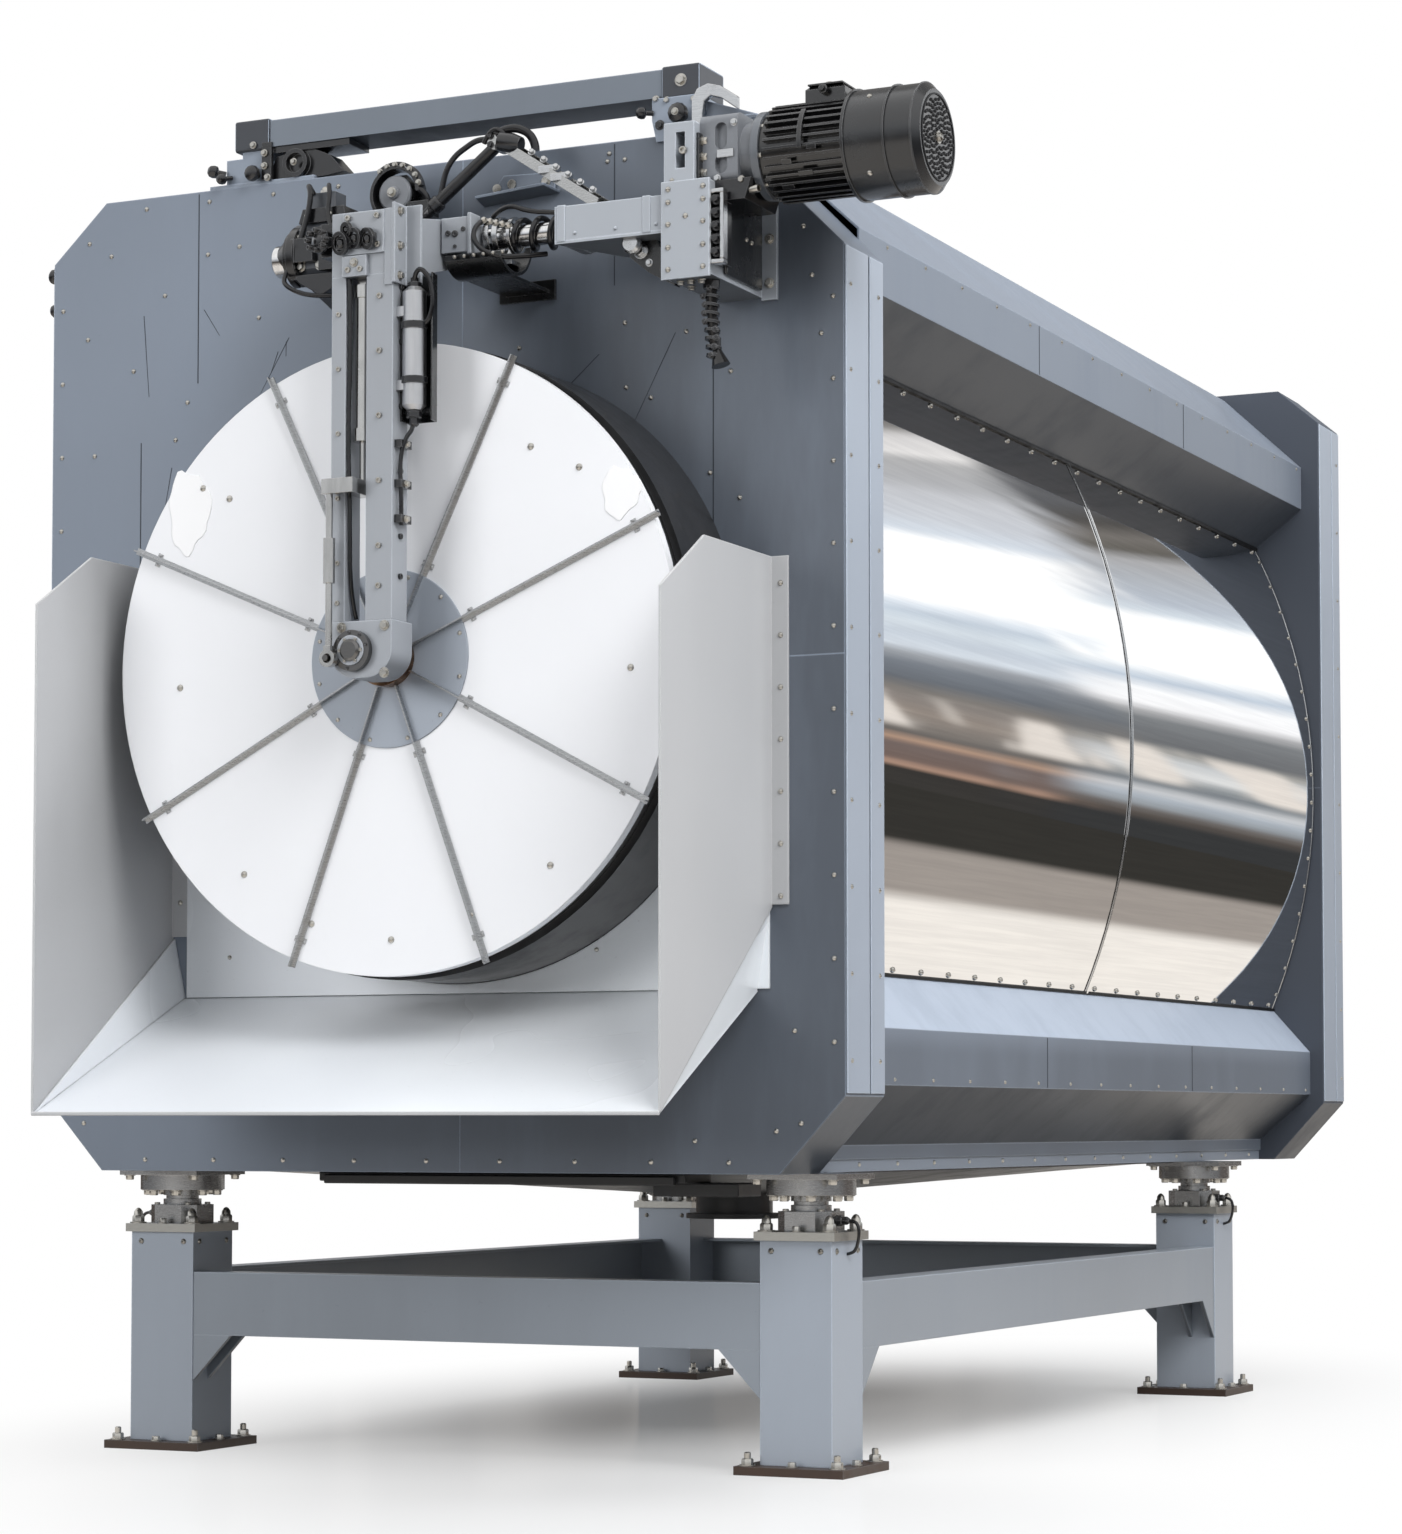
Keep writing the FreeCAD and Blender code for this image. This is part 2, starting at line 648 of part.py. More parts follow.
def end_frame(top, left_x, left_z, right_x, right_z, y0, bore_r):
    """Panel with a round opening, and the folded rim behind its edge."""
    args = (top, left_x, left_z, right_x, right_z)
    panel = plate_xz(frame_outline(*args), y0, y0 + FRAME_SHEET)
    panel = panel.cut(rod_y(y0 - 1, y0 + FRAME_SHEET + 1, DRUM_X, DRUM_Z, bore_r))
    rim = rim_plates(frame_outline(*args), frame_outline(*args, inset=FRAME_SHEET),
                     frame_outline(*args, inset=FRAME_LIP), y0 + FRAME_SHEET, y0 + FRAME_DEPTH)
    return panel, rim


def front_frame():
    panel, rim = end_frame(FRONT_PANEL_TOP, FRONT_LEFT_CHAMFER_X, FRONT_LEFT_CHAMFER_Z,
                           FRONT_RIGHT_CHAMFER_X, FRONT_RIGHT_CHAMFER_Z, FACE_Y, NECK_R + PANEL_BORE_CLEARANCE)
    return quarters(panel) + rim


def drive_shaft_hole(y0, y1):
    return rod_y(y0, y1, DRUM_X + ROLLER_SPREAD, ROLLER_Z, ROLLER_SHAFT_R + SHAFT_HOLE_CLEARANCE)


def rear_frame():
    panel, rim = end_frame(REAR_FRAME_TOP, REAR_TOP_CHAMFER_X, REAR_TOP_CHAMFER_Z,
                           REAR_TOP_CHAMFER_X, REAR_TOP_CHAMFER_Z, SIDE_Y1, RING_R + REAR_BORE_CLEARANCE)
    return quarters(panel.cut(drive_shaft_hole(SIDE_Y1 - 1, SIDE_Y1 + FRAME_SHEET + 1))) + rim


def rear_cover():
    """Cover over the rear frame, with holes for the feed pipe and the drive shaft."""
    outline = frame_outline(REAR_FRAME_TOP, REAR_TOP_CHAMFER_X, REAR_TOP_CHAMFER_Z,
                            REAR_TOP_CHAMFER_X, REAR_TOP_CHAMFER_Z, inset=FRAME_LIP / 2)
    cover = plate_xz(outline, REAR_Y, REAR_Y + FRAME_SHEET)
    cover = cover.cut(rod_y(REAR_Y - 1, REAR_Y + FRAME_SHEET + 1, DRUM_X, DRUM_Z, FEED_R))
    return cover.cut(drive_shaft_hole(REAR_Y - 1, REAR_Y + FRAME_SHEET + 1))


def rail():
    x0 = RAIL_OUTER_X - RAIL_WIDTH
    w = RAIL_WALL
    outer = block(x0, RAIL_OUTER_X, SIDE_Y0, SIDE_Y1, CASING_Z, RAIL_TOP)
    return outer.cut(block(x0 + w, RAIL_OUTER_X - w, SIDE_Y0 - 1, SIDE_Y1 + 1, CASING_Z + w, RAIL_TOP - w))


def cross_members():
    half = RAIL_OUTER_X - RAIL_WIDTH
    w = RAIL_WALL
    members = []
    for y in RING_YS:
        y0, y1 = y - CROSS_MEMBER_WIDTH / 2, y + CROSS_MEMBER_WIDTH / 2
        outer = block(-half, half, y0, y1, CASING_Z, RAIL_TOP)
        members.append(outer.cut(block(-half - 1, half + 1, y0 + w, y1 - w, CASING_Z + w, RAIL_TOP - w)))
    return members


def lower_cowl():
    lap_x = RAIL_OUTER_X + COWL_SHEET
    line = [(lap_x, RAIL_TOP - COWL_LAP), (lap_x, RAIL_TOP), (FASCIA_LOW_X, FASCIA_LOW_Z0),
            (FASCIA_LOW_X, FASCIA_LOW_Z1), (SKIN_FOOT_X, SKIN_FOOT_Z)]
    return plate_xz(fold(line, COWL_SHEET), SIDE_Y0, SIDE_Y1)


def upper_cowl():
    line = [(SKIN_HEAD_X, SKIN_HEAD_Z), (FASCIA_HIGH_X, FASCIA_HIGH_Z0), (FASCIA_HIGH_X, FASCIA_HIGH_Z1),
            (ROOF_EDGE_X, ROOF_Z)]
    return plate_xz(fold(line, COWL_SHEET), SIDE_Y0, SIDE_Y1)


def roof():
    half = ROOF_EDGE_X - COWL_SHEET
    return block(-half, half, SIDE_Y0, SIDE_Y1, ROOF_Z - COWL_SHEET, ROOF_Z)


def skin_arc(inset):
    """Arc through the skin's foot, belly and head, set in by the given amount."""
    foot = V(SKIN_FOOT_X, 0, SKIN_FOOT_Z)
    belly = V(SKIN_BELLY_X, 0, SKIN_BELLY_Z)
    head = V(SKIN_HEAD_X, 0, SKIN_HEAD_Z)
    circle = Part.Arc(foot, belly, head).toShape().Curve
    ends = []
    for point in (foot, belly, head):
        inward = circle.Center - point
        inward.normalize()
        ends.append(point + inward * inset)
    return ends


def skin(y0, y1, outset=0.0, thickness=SKIN_SHEET):
    """Curved sheet along the casing's side, between y0 and y1."""
    outer = skin_arc(-outset)
    inner = skin_arc(thickness - outset)
    edges = [Part.Arc(*outer).toShape(), Part.makeLine(outer[2], inner[2]),
             Part.Arc(*inner).toShape(), Part.makeLine(inner[0], outer[0])]
    face = Part.Face(Part.Wire(Part.__sortEdges__(edges)))
    face.translate(V(0, y0, 0))
    return face.extrude(V(0, y1 - y0, 0))


def ring_of_corners(half_x, y0, y1, z):
    return [V(-half_x, y0, z), V(half_x, y0, z), V(half_x, y1, z), V(-half_x, y1, z)]


def pan_sheets(inner, outer):
    """Four sheets of one height between two level rings of corners."""
    sheets = []
    for i in range(4):
        j = (i + 1) % 4
        wire = Part.makePolygon([outer[i], outer[j], inner[j], inner[i], outer[i]])
        sheets.append(Part.Face(wire).extrude(V(0, 0, PAN_SHEET)))
    return sheets


def drain_pan():
    """Shallow hopper under the rails: a level rim and four sheets that slope to the sump's plate."""
    half = RAIL_OUTER_X - RAIL_WIDTH - PAN_RIM
    rim_x = RAIL_OUTER_X - RAIL_WIDTH / 2
    y0 = FACE_Y + PAN_FRONT_BACK
    y1 = y0 + PAN_LENGTH
    mid = (y0 + y1) / 2
    high = CASING_Z - PAN_SHEET
    low = CASING_Z - PAN_DROP
    edge = ring_of_corners(half, y0, y1, high)
    rim = ring_of_corners(rim_x, y0 - PAN_RIM, y1 + PAN_RIM, high)
    sump = ring_of_corners(SUMP_R, mid - SUMP_R, mid + SUMP_R, low)
    plate = block(-SUMP_R, SUMP_R, mid - SUMP_R, mid + SUMP_R, low, low + PAN_SHEET)
    plate = plate.cut(rod_z(low - 1, low + PAN_SHEET + 1, 0, mid, OUTLET_R))
    return pan_sheets(edge, rim) + pan_sheets(sump, edge) + [plate]


def drain_outlet():
    """Outlet pipe under the sump's plate, with a flange at its foot."""
    mid = FACE_Y + PAN_FRONT_BACK + PAN_LENGTH / 2
    top = CASING_Z - PAN_DROP
    foot = top - SUMP_HEIGHT
    pipe = rod_z(foot, top, 0, mid, OUTLET_R)
    flange = rod_z(foot, foot + OUTLET_FLANGE, 0, mid, OUTLET_R + OUTLET_FLANGE_WIDTH)
    return fuse(pipe, flange).cut(rod_z(foot - 1, top + 1, 0, mid, OUTLET_R - PAN_SHEET))


def feed_pipe():
    """Pipe through the rear cover, its bolting flange and the collar on the cover."""
    y0 = REAR_Y - FEED_INSIDE
    y1 = REAR_Y + FRAME_SHEET + FEED_OUTSIDE
    pipe = tube_y(y0, y1, DRUM_X, DRUM_Z, FEED_R, FEED_SHEET)
    wall = FLANGE_R - FEED_R
    flange = tube_y(y1 - FLANGE_THICKNESS, y1, DRUM_X, DRUM_Z, FLANGE_R, wall)
    collar = tube_y(REAR_Y + FRAME_SHEET, REAR_Y + FRAME_SHEET + FEED_SHEET, DRUM_X, DRUM_Z, FLANGE_R, wall)
    for i in range(FLANGE_HOLES):
        angle = math.radians((i + 0.5) * 360 / FLANGE_HOLES)
        x = DRUM_X + FLANGE_PCD / 2 * math.cos(angle)
        z = DRUM_Z + FLANGE_PCD / 2 * math.sin(angle)
        flange = flange.cut(rod_y(y1 - FLANGE_THICKNESS - 1, y1 + 1, x, z, FLANGE_HOLE_R))
    return pipe, flange, collar


def build_casing():
    seam_y = FACE_Y + SKIN_SEAM_BACK
    gap = SEAM_WIDTH / 2
    save("front_frame", *front_frame())
    save("rear_frame", *rear_frame())
    save("rear_cover", rear_cover())
    save("casing_rails", rail(), mirrored(rail()), *cross_members())
    save("roof_panel", roof())
    cowls = [lower_cowl(), upper_cowl()]
    save("side_cowls", *cowls, *[mirrored(cowl) for cowl in cowls])
    skins = [skin(SIDE_Y0, seam_y), skin(seam_y, SIDE_Y1),
             skin(seam_y - gap, seam_y + gap, SEAM_HEIGHT, SEAM_HEIGHT)]
    save("side_skins", *skins, *[mirrored(piece) for piece in skins])
    save("drain_pan", *drain_pan(), drain_outlet())
    save("feed_pipe", *feed_pipe())


# Drum and its rollers

def drum_neck():
    """Neck through the front panel and the cone that widens to the barrel, each of four rolled sheets."""
    y1 = FACE_Y + NECK_BACK
    t = NECK_SHEET
    neck = [(NECK_Y0, NECK_R), (y1, NECK_R), (y1, NECK_R - t), (NECK_Y0, NECK_R - t)]
    cone = [(y1, NECK_R), (BARREL_Y0, BARREL_R), (BARREL_Y0, BARREL_R - t), (y1, NECK_R - t)]
    sheets = []
    for turn in range(0, 360, 90):
        for profile in (neck, cone):
            rolled = lathe_y(profile, DRUM_X, DRUM_Z, 90)
            rolled.rotate(V(DRUM_X, 0, DRUM_Z), V(0, 1, 0), turn)
            sheets.append(rolled)
    return sheets


def staves():
    """Flat bars along the outside of the barrel, under the riding rings."""
    bar = block(-STAVE_WIDTH / 2, STAVE_WIDTH / 2, BARREL_Y0, BARREL_Y1, BARREL_R, BARREL_R + STAVE_HEIGHT)
    bars = []
    for i in range(STAVE_COUNT):
        copy = bar.copy()
        copy.rotate(V(0, 0, 0), V(0, 1, 0), i * 360 / STAVE_COUNT)
        copy.translate(V(DRUM_X, 0, DRUM_Z))
        bars.append(copy)
    return bars


def lifters():
    """Flights inside the barrel that lift and drop the cake."""
    root = BARREL_R - BARREL_SHEET - LIFTER_FIT
    blade = block(-LIFTER_SHEET / 2, LIFTER_SHEET / 2, BARREL_Y0, BARREL_Y1, root - LIFTER_HEIGHT, root)
    blades = []
    for i in range(LIFTER_COUNT):
        copy = blade.copy()
        copy.rotate(V(0, 0, 0), V(0, 1, 0), (i + 0.5) * 360 / LIFTER_COUNT)
        copy.translate(V(DRUM_X, 0, DRUM_Z))
        blades.append(copy)
    return blades


def riding_ring(y):
    inner = BARREL_R + STAVE_HEIGHT + RING_FIT
    return tube_y(y - RING_WIDTH / 2, y + RING_WIDTH / 2, DRUM_X, DRUM_Z, RING_R, RING_R - inner)


def drum_head():
    head = rod_y(BARREL_Y1, BARREL_Y1 + HEAD_SHEET, DRUM_X, DRUM_Z, BARREL_R)
    collar = rod_y(BARREL_Y1, BARREL_Y1 + 4 * HEAD_SHEET, DRUM_X, DRUM_Z, HEAD_HOLE_R + HEAD_SHEET)
    return fuse(head, collar).cut(rod_y(BARREL_Y1 - 1, BARREL_Y1 + 5 * HEAD_SHEET, DRUM_X, DRUM_Z, HEAD_HOLE_R))


def roller_shaft(x, y1):
    y0 = RING_YS[0] - PEDESTAL_STANDOFF - SHAFT_OVERHANG
    return rod_y(y0, y1, x, ROLLER_Z, ROLLER_SHAFT_R)


def roller(x, y):
    return tube_y(y - ROLLER_WIDTH / 2, y + ROLLER_WIDTH / 2, x, ROLLER_Z, ROLLER_R, ROLLER_R - ROLLER_SHAFT_R)


def pedestal(x, y):
    """Bearing pedestal: a tapered plate with a round head round the roller shaft."""
    half = PEDESTAL_BASE / 2
    y0 = y - PEDESTAL_THICKNESS / 2
    y1 = y + PEDESTAL_THICKNESS / 2
    plate = plate_xz([(x - half, RAIL_TOP), (x + half, RAIL_TOP), (x + PEDESTAL_HEAD_R, ROLLER_Z),
                      (x - PEDESTAL_HEAD_R, ROLLER_Z)], y0, y1)
    plate = fuse(plate, rod_y(y0, y1, x, ROLLER_Z, PEDESTAL_HEAD_R))
    return plate.cut(rod_y(y0 - 1, y1 + 1, x, ROLLER_Z, ROLLER_SHAFT_R + SHAFT_FIT))


def neck_seal():
    """Fixed collar on the panel's face, its bore just off the turning neck."""
    return tube_y(FACE_Y - COLLAR_LENGTH, FACE_Y, DRUM_X, DRUM_Z, COLLAR_R, COLLAR_THICKNESS)


def drum_drive():
    """Gearmotor of the driven roller shaft, flanged on the rear cover."""
    x = DRUM_X + ROLLER_SPREAD
    half = GEARBOX_HALF
    y0 = REAR_Y + FRAME_SHEET
    y1 = y0 + GEARBOX_LENGTH
    y2 = y1 + DRUM_MOTOR_LENGTH
    y3 = y2 + DRUM_MOTOR_COWL
    bore = rod_y(y0 - 1, y0 + SHAFT_OVERHANG + SHAFT_END_GAP, x, ROLLER_Z, ROLLER_SHAFT_R + SHAFT_FIT)
    gearbox = block(x - half, x + half, y0, y1, ROLLER_Z - half, ROLLER_Z + half)
    gearbox = gearbox.makeFillet(GEARBOX_CORNER_R, [e for e in gearbox.Edges if abs(e.tangentAt(0).y) > 0.9])
    r = DRUM_MOTOR_R
    rim = DRUM_MOTOR_FLANGE_R
    motor = [(y1, 0), (y1, rim), (y1 + 20, rim), (y1 + 20, r), (y2, r), (y2, r + 10), (y3, r + 10),
             (y3 + 15, r), (y3 + 15, 0)]
    return gearbox.cut(bore), lathe_y(motor, x, ROLLER_Z)


def build_drum():
    left = DRUM_X - ROLLER_SPREAD
    right = DRUM_X + ROLLER_SPREAD
    idle_end = RING_YS[1] + PEDESTAL_STANDOFF + SHAFT_OVERHANG
    drive_end = REAR_Y + FRAME_SHEET + SHAFT_OVERHANG
    save("drum_neck", *drum_neck())
    save("drum_barrel", tube_y(BARREL_Y0, BARREL_Y1, DRUM_X, DRUM_Z, BARREL_R, BARREL_SHEET))
    save("drum_staves", *staves())
    save("drum_lifters", *lifters())
    save("riding_rings", *[riding_ring(y) for y in RING_YS])
    save("drum_rear_head", drum_head())
    save("neck_seal", neck_seal())
    for side, x, end in (("left", left, idle_end), ("right", right, drive_end)):
        save("roller_shaft_" + side, roller_shaft(x, end), *[roller(x, y) for y in RING_YS])
    save("roller_pedestals", *[pedestal(x, y + d) for x in (left, right) for y in RING_YS
                               for d in (-PEDESTAL_STANDOFF, PEDESTAL_STANDOFF)])
    save("drum_gearmotor", *drum_drive())


# Chute

def wing(x, foot_z, top_z):
    """Side sheet of the chute with its bolting flange on the panel."""
    outline = [(FACE_Y, foot_z), (LIP_Y, CHUTE_LIP_Z), (LIP_Y, top_z - WING_FRONT_DROP),
               (FACE_Y - WING_TOP_RUN, top_z), (FACE_Y, top_z)]
    side = plate_yz(outline, x - CHUTE_SHEET / 2, x + CHUTE_SHEET / 2)
    flange = block(x, x + WING_FLANGE, FACE_Y - CHUTE_SHEET, FACE_Y, foot_z + CHUTE_SHEET, top_z)
    return fuse(side, flange)


def chute_floor():
    """Sloping floor with a triangular sheet in each corner up to the wings."""
    back_left = V(CHUTE_X0 + CHUTE_CORNER_INSET, FACE_Y, CHUTE_FLOOR_BACK_Z)
    back_right = V(CHUTE_X1 - CHUTE_CORNER_INSET, FACE_Y, CHUTE_FLOOR_BACK_Z)
    lip_left = V(CHUTE_X0 + CHUTE_SHEET / 2, LIP_Y, CHUTE_LIP_Z)
    lip_right = V(CHUTE_X1 - CHUTE_SHEET / 2, LIP_Y, CHUTE_LIP_Z)
    wing_left = V(CHUTE_X0 + CHUTE_SHEET / 2, FACE_Y, WING_FOOT_LEFT)
    wing_right = V(CHUTE_X1 - CHUTE_SHEET / 2, FACE_Y, WING_FOOT_RIGHT)
    rise = CHUTE_FLOOR_BACK_Z - CHUTE_LIP_Z
    reach = 1 - CHUTE_SHEET * rise / math.hypot(CHUTE_REACH, rise) / CHUTE_REACH
    floor_left = lip_left + (back_left - lip_left) * reach
    floor_right = lip_right + (back_right - lip_right) * reach
    floor = sheet([lip_left, floor_left, floor_right, lip_right], CHUTE_SHEET)
    left = sheet([lip_left, back_left, wing_left], CHUTE_SHEET)
    right = sheet([lip_right, wing_right, back_right], CHUTE_SHEET)
    return floor, left, right


def chute_back_plates():
    """Two plates on the panel between the floor and the wings, cut round the collar."""
    collar = rod_y(FACE_Y - CHUTE_SHEET - 1, FACE_Y + 1, DRUM_X, DRUM_Z, COLLAR_R + BACK_PLATE_CLEARANCE)
    plates = []
    for x0, x1 in ((CHUTE_X0 + WING_FLANGE, DRUM_X), (DRUM_X, CHUTE_X1 - CHUTE_SHEET / 2)):
        plate = block(x0, x1, FACE_Y - CHUTE_SHEET, FACE_Y, CHUTE_FLOOR_BACK_Z, BACK_PLATE_TOP)
        plates.append(plate.cut(collar))
    return plates


def build_chute():
    save("chute_wing_left", wing(CHUTE_X0, WING_FOOT_LEFT, WING_TOP_LEFT))
    save("chute_wing_right", wing(CHUTE_X1, WING_FOOT_RIGHT, WING_TOP_RIGHT))
    save("chute_floor", *chute_floor(), *chute_back_plates())


# Door

def door_disc():
    face = rod_y(DOOR_Y0, DOOR_Y0 + DOOR_SHEET, DRUM_X, DRUM_Z, DOOR_R)
    rim = tube_y(DOOR_Y0, DOOR_RIM_Y1, DRUM_X, DRUM_Z, DOOR_R, DOOR_RIM_SHEET)
    return fuse(face, rim).cut(rod_y(DOOR_Y0 - 1, DOOR_RIM_Y1 + 1, DRUM_X, DRUM_Z, DOOR_HUB_R))


def door_seal():
    back = NECK_Y0 - DOOR_SEAL_GAP
    r = DOOR_R - DOOR_RIM_SHEET
    return tube_y(DOOR_Y0 + DOOR_SHEET, back, DRUM_X, DRUM_Z, r, 2 * NECK_SHEET)


def door_ribs():
    """Angle bars along the door's radii, each with its foot on the centre hub."""
    low = DOOR_HUB_R + RIB_FOOT_GAP
    high = DOOR_R + RIB_OVERRUN
    leg = RIB_SHEET
    section = [(-RIB_WIDTH / 2, DOOR_Y0), (RIB_WIDTH / 2, DOOR_Y0), (RIB_WIDTH / 2, DOOR_Y0 - leg),
               (leg / 2, DOOR_Y0 - leg), (leg / 2, DOOR_Y0 - RIB_HEIGHT), (-leg / 2, DOOR_Y0 - RIB_HEIGHT),
               (-leg / 2, DOOR_Y0 - leg), (-RIB_WIDTH / 2, DOOR_Y0 - leg)]
    bar = plate_xy(section, low, high)
    bar = bar.cut(block(-RIB_WIDTH, RIB_WIDTH, DOOR_Y0 - CENTRE_PLATE_SHEET, DOOR_Y0 + 1, 0, CENTRE_PLATE_R))
    bars = []
    for angle in RIB_ANGLES + tuple(-a for a in RIB_ANGLES):
        copy = bar.copy()
        copy.rotate(V(0, 0, 0), V(0, 1, 0), angle)
        copy.translate(V(DRUM_X, 0, DRUM_Z))
        bars.append(copy)
    return bars


def door_hub():
    """Bronze-faced hub through the door, turning on the spindle."""
    y0 = DOOR_Y0 - DOOR_HUB_LENGTH
    y1 = DOOR_Y0 + DOOR_RIM_DEPTH
    step = HUB_FLANGE_LENGTH
    bore = SPINDLE_R + SHAFT_FIT
    nose = DOOR_HUB_R - HUB_NOSE_STEP
    flange = DOOR_HUB_R + HUB_FLANGE_WIDTH
    profile = [(y0, bore), (y0, nose), (y0 + step, nose), (y0 + step, DOOR_HUB_R),
               (y1 - step, DOOR_HUB_R), (y1 - step, flange), (y1, flange), (y1, bore)]
    return lathe_y(profile, DRUM_X, DRUM_Z)


def centre_plate():
    plate = rod_y(DOOR_Y0 - CENTRE_PLATE_SHEET, DOOR_Y0, DRUM_X, DRUM_Z, CENTRE_PLATE_R)
    return plate.cut(rod_y(DOOR_Y0 - CENTRE_PLATE_SHEET - 1, DOOR_Y0 + 1, DRUM_X, DRUM_Z, DOOR_HUB_R))


def spindle():
    """Stepped spindle: nose through the arm's boss, journal in the hub, end washer."""
    y0 = ARM_Y0 - BOSS_LENGTH - NOSE_PROUD
    y1 = DOOR_RIM_Y1 + WASHER_GAP
    y2 = y1 + WASHER_THICKNESS
    washer = SPINDLE_R + WASHER_WIDTH
    profile = [(y0, 0), (y0, SPINDLE_R - NOSE_CHAMFER), (y0 + NOSE_CHAMFER, SPINDLE_R), (y1, SPINDLE_R),
               (y1, washer), (y2, washer), (y2, 0)]
    return lathe_y(profile, DRUM_X, DRUM_Z)


def build_door():
    save("door_disc", door_disc())
    save("door_seal", door_seal())
    save("door_ribs", *door_ribs())
    save("door_centre_plate", centre_plate())
    save("door_hub", door_hub())
    save("door_spindle", spindle())


# Arm

def strut(x0, x1):
    outer = block(x0, x1, ARM_Y0, ARM_Y1, HUB_TOP, ARM_HEAD_BOTTOM)
    w = STRUT_WALL
    return outer.cut(block(x0 + w, x1 - w, ARM_Y0 + w, ARM_Y1 - w, HUB_TOP - 1, ARM_HEAD_BOTTOM + 1))


def arm_head():
    """Head block that joins both struts and clamps the torque shaft."""
    half = ARM_HEAD_HALF
    back = SHAFT_Y + 2 * TORQUE_SHAFT_R
    side = [(ARM_Y0, ARM_HEAD_BOTTOM), (ARM_Y1, ARM_HEAD_BOTTOM), (back, SHAFT_Z - half), (back, SHAFT_Z + half),
            (SHAFT_Y - half, SHAFT_Z + half), (ARM_Y1 + half, ARM_HEAD_TOP), (ARM_Y0, ARM_HEAD_TOP)]
    head = plate_yz(side, ARM_LEFT_X, ARM_RIGHT_X)
    return head.cut(rod_x(ARM_LEFT_X - 1, ARM_RIGHT_X + 1, SHAFT_Y, SHAFT_Z, TORQUE_SHAFT_R))


def hub_housing():
    """Foot of the arm: a block with a rounded end, bored for the spindle."""
    r = (HUB_TOP - HUB_BOTTOM) / 2
    mid = HUB_BOTTOM + r
    width = block(ARM_LEFT_X, ARM_RIGHT_X, ARM_Y0, HUB_Y1, mid, HUB_TOP)
    low = block(ARM_LEFT_X + r, ARM_RIGHT_X - r, ARM_Y0, HUB_Y1, HUB_BOTTOM, mid + 1)
    ends = [rod_y(ARM_Y0, HUB_Y1, x, mid, r) for x in (ARM_LEFT_X + r, ARM_RIGHT_X - r)]
    boss = rod_y(ARM_Y0 - BOSS_LENGTH, ARM_Y0, DRUM_X, DRUM_Z, BOSS_R)
    housing = fuse(width, low, boss, *ends)
    return housing.cut(rod_y(ARM_Y0 - BOSS_LENGTH - 1, HUB_Y1 + 1, DRUM_X, DRUM_Z, SPINDLE_R + SHAFT_FIT))


def shaft_sleeve():
    """Square sleeve on the torque shaft beside the head."""
    half = SLEEVE_HALF
    x1 = ARM_RIGHT_X + SLEEVE_LENGTH
    sleeve = block(ARM_RIGHT_X, x1, SHAFT_Y - 2 * half, SHAFT_Y + half, SHAFT_Z - half, SHAFT_Z + half)
    return sleeve.cut(rod_x(ARM_RIGHT_X - 1, x1 + 1, SHAFT_Y, SHAFT_Z, TORQUE_SHAFT_R))


def torque_shaft():
    """Shaft from the left bearing, through the arm's head and the housing, into the carrier."""
    x0 = TORQUE_SHAFT_X0
    x1 = CARRIER_X1 - 2 * CARRIER_SHEET
    r = TORQUE_SHAFT_R
    c = SHAFT_CHAMFER
    return lathe_x([(x0, 0), (x0, r - c), (x0 + c, r), (x1, r), (x1, 0)], SHAFT_Y, SHAFT_Z)


def shaft_knob():
    """Turned grip on the torque shaft's free end, for turning it by hand."""
    x0 = TORQUE_SHAFT_X0 - KNOB_CAP
    x1 = x0 + KNOB_LENGTH
    r = KNOB_R
    c = 2 * SHAFT_CHAMFER
    profile = [(x0, 0), (x0, r - c), (x0 + c, r), (x1 - c, r), (x1, r - c), (x1, 0)]
    knob = lathe_x(profile, SHAFT_Y, SHAFT_Z)
    return knob.cut(rod_x(TORQUE_SHAFT_X0, x1 + 1, SHAFT_Y, SHAFT_Z, TORQUE_SHAFT_R))


def clamp_cylinder():
    y = (ARM_Y0 + ARM_Y1) / 2
    r = CYLINDER_R
    barrel = r - CYLINDER_STEP
    low, high = CYLINDER_BOTTOM, CYLINDER_TOP
    body = [(0, low), (r, low), (r, low + CYLINDER_CAP), (barrel, low + CYLINDER_CAP),
            (barrel, high - CYLINDER_CAP), (r, high - CYLINDER_CAP), (r, high), (0, high)]
    body = lathe_z(body, CYLINDER_X, y)
    lug = block(CYLINDER_X - r / 2, CYLINDER_X + r / 2, y - r / 2, y + r / 2, high - 1, ARM_HEAD_BOTTOM)
    bore = rod_z(low - 1, high - CYLINDER_CAP, CYLINDER_X, y, CYLINDER_ROD_R + SHAFT_FIT)
    return fuse(body, lug).cut(bore)


def crank_pin_place():
    angle = math.radians(CRANK_START_DEG)
    return DRUM_X - CRANK_R * math.cos(angle), DRUM_Z - CRANK_R * math.sin(angle)


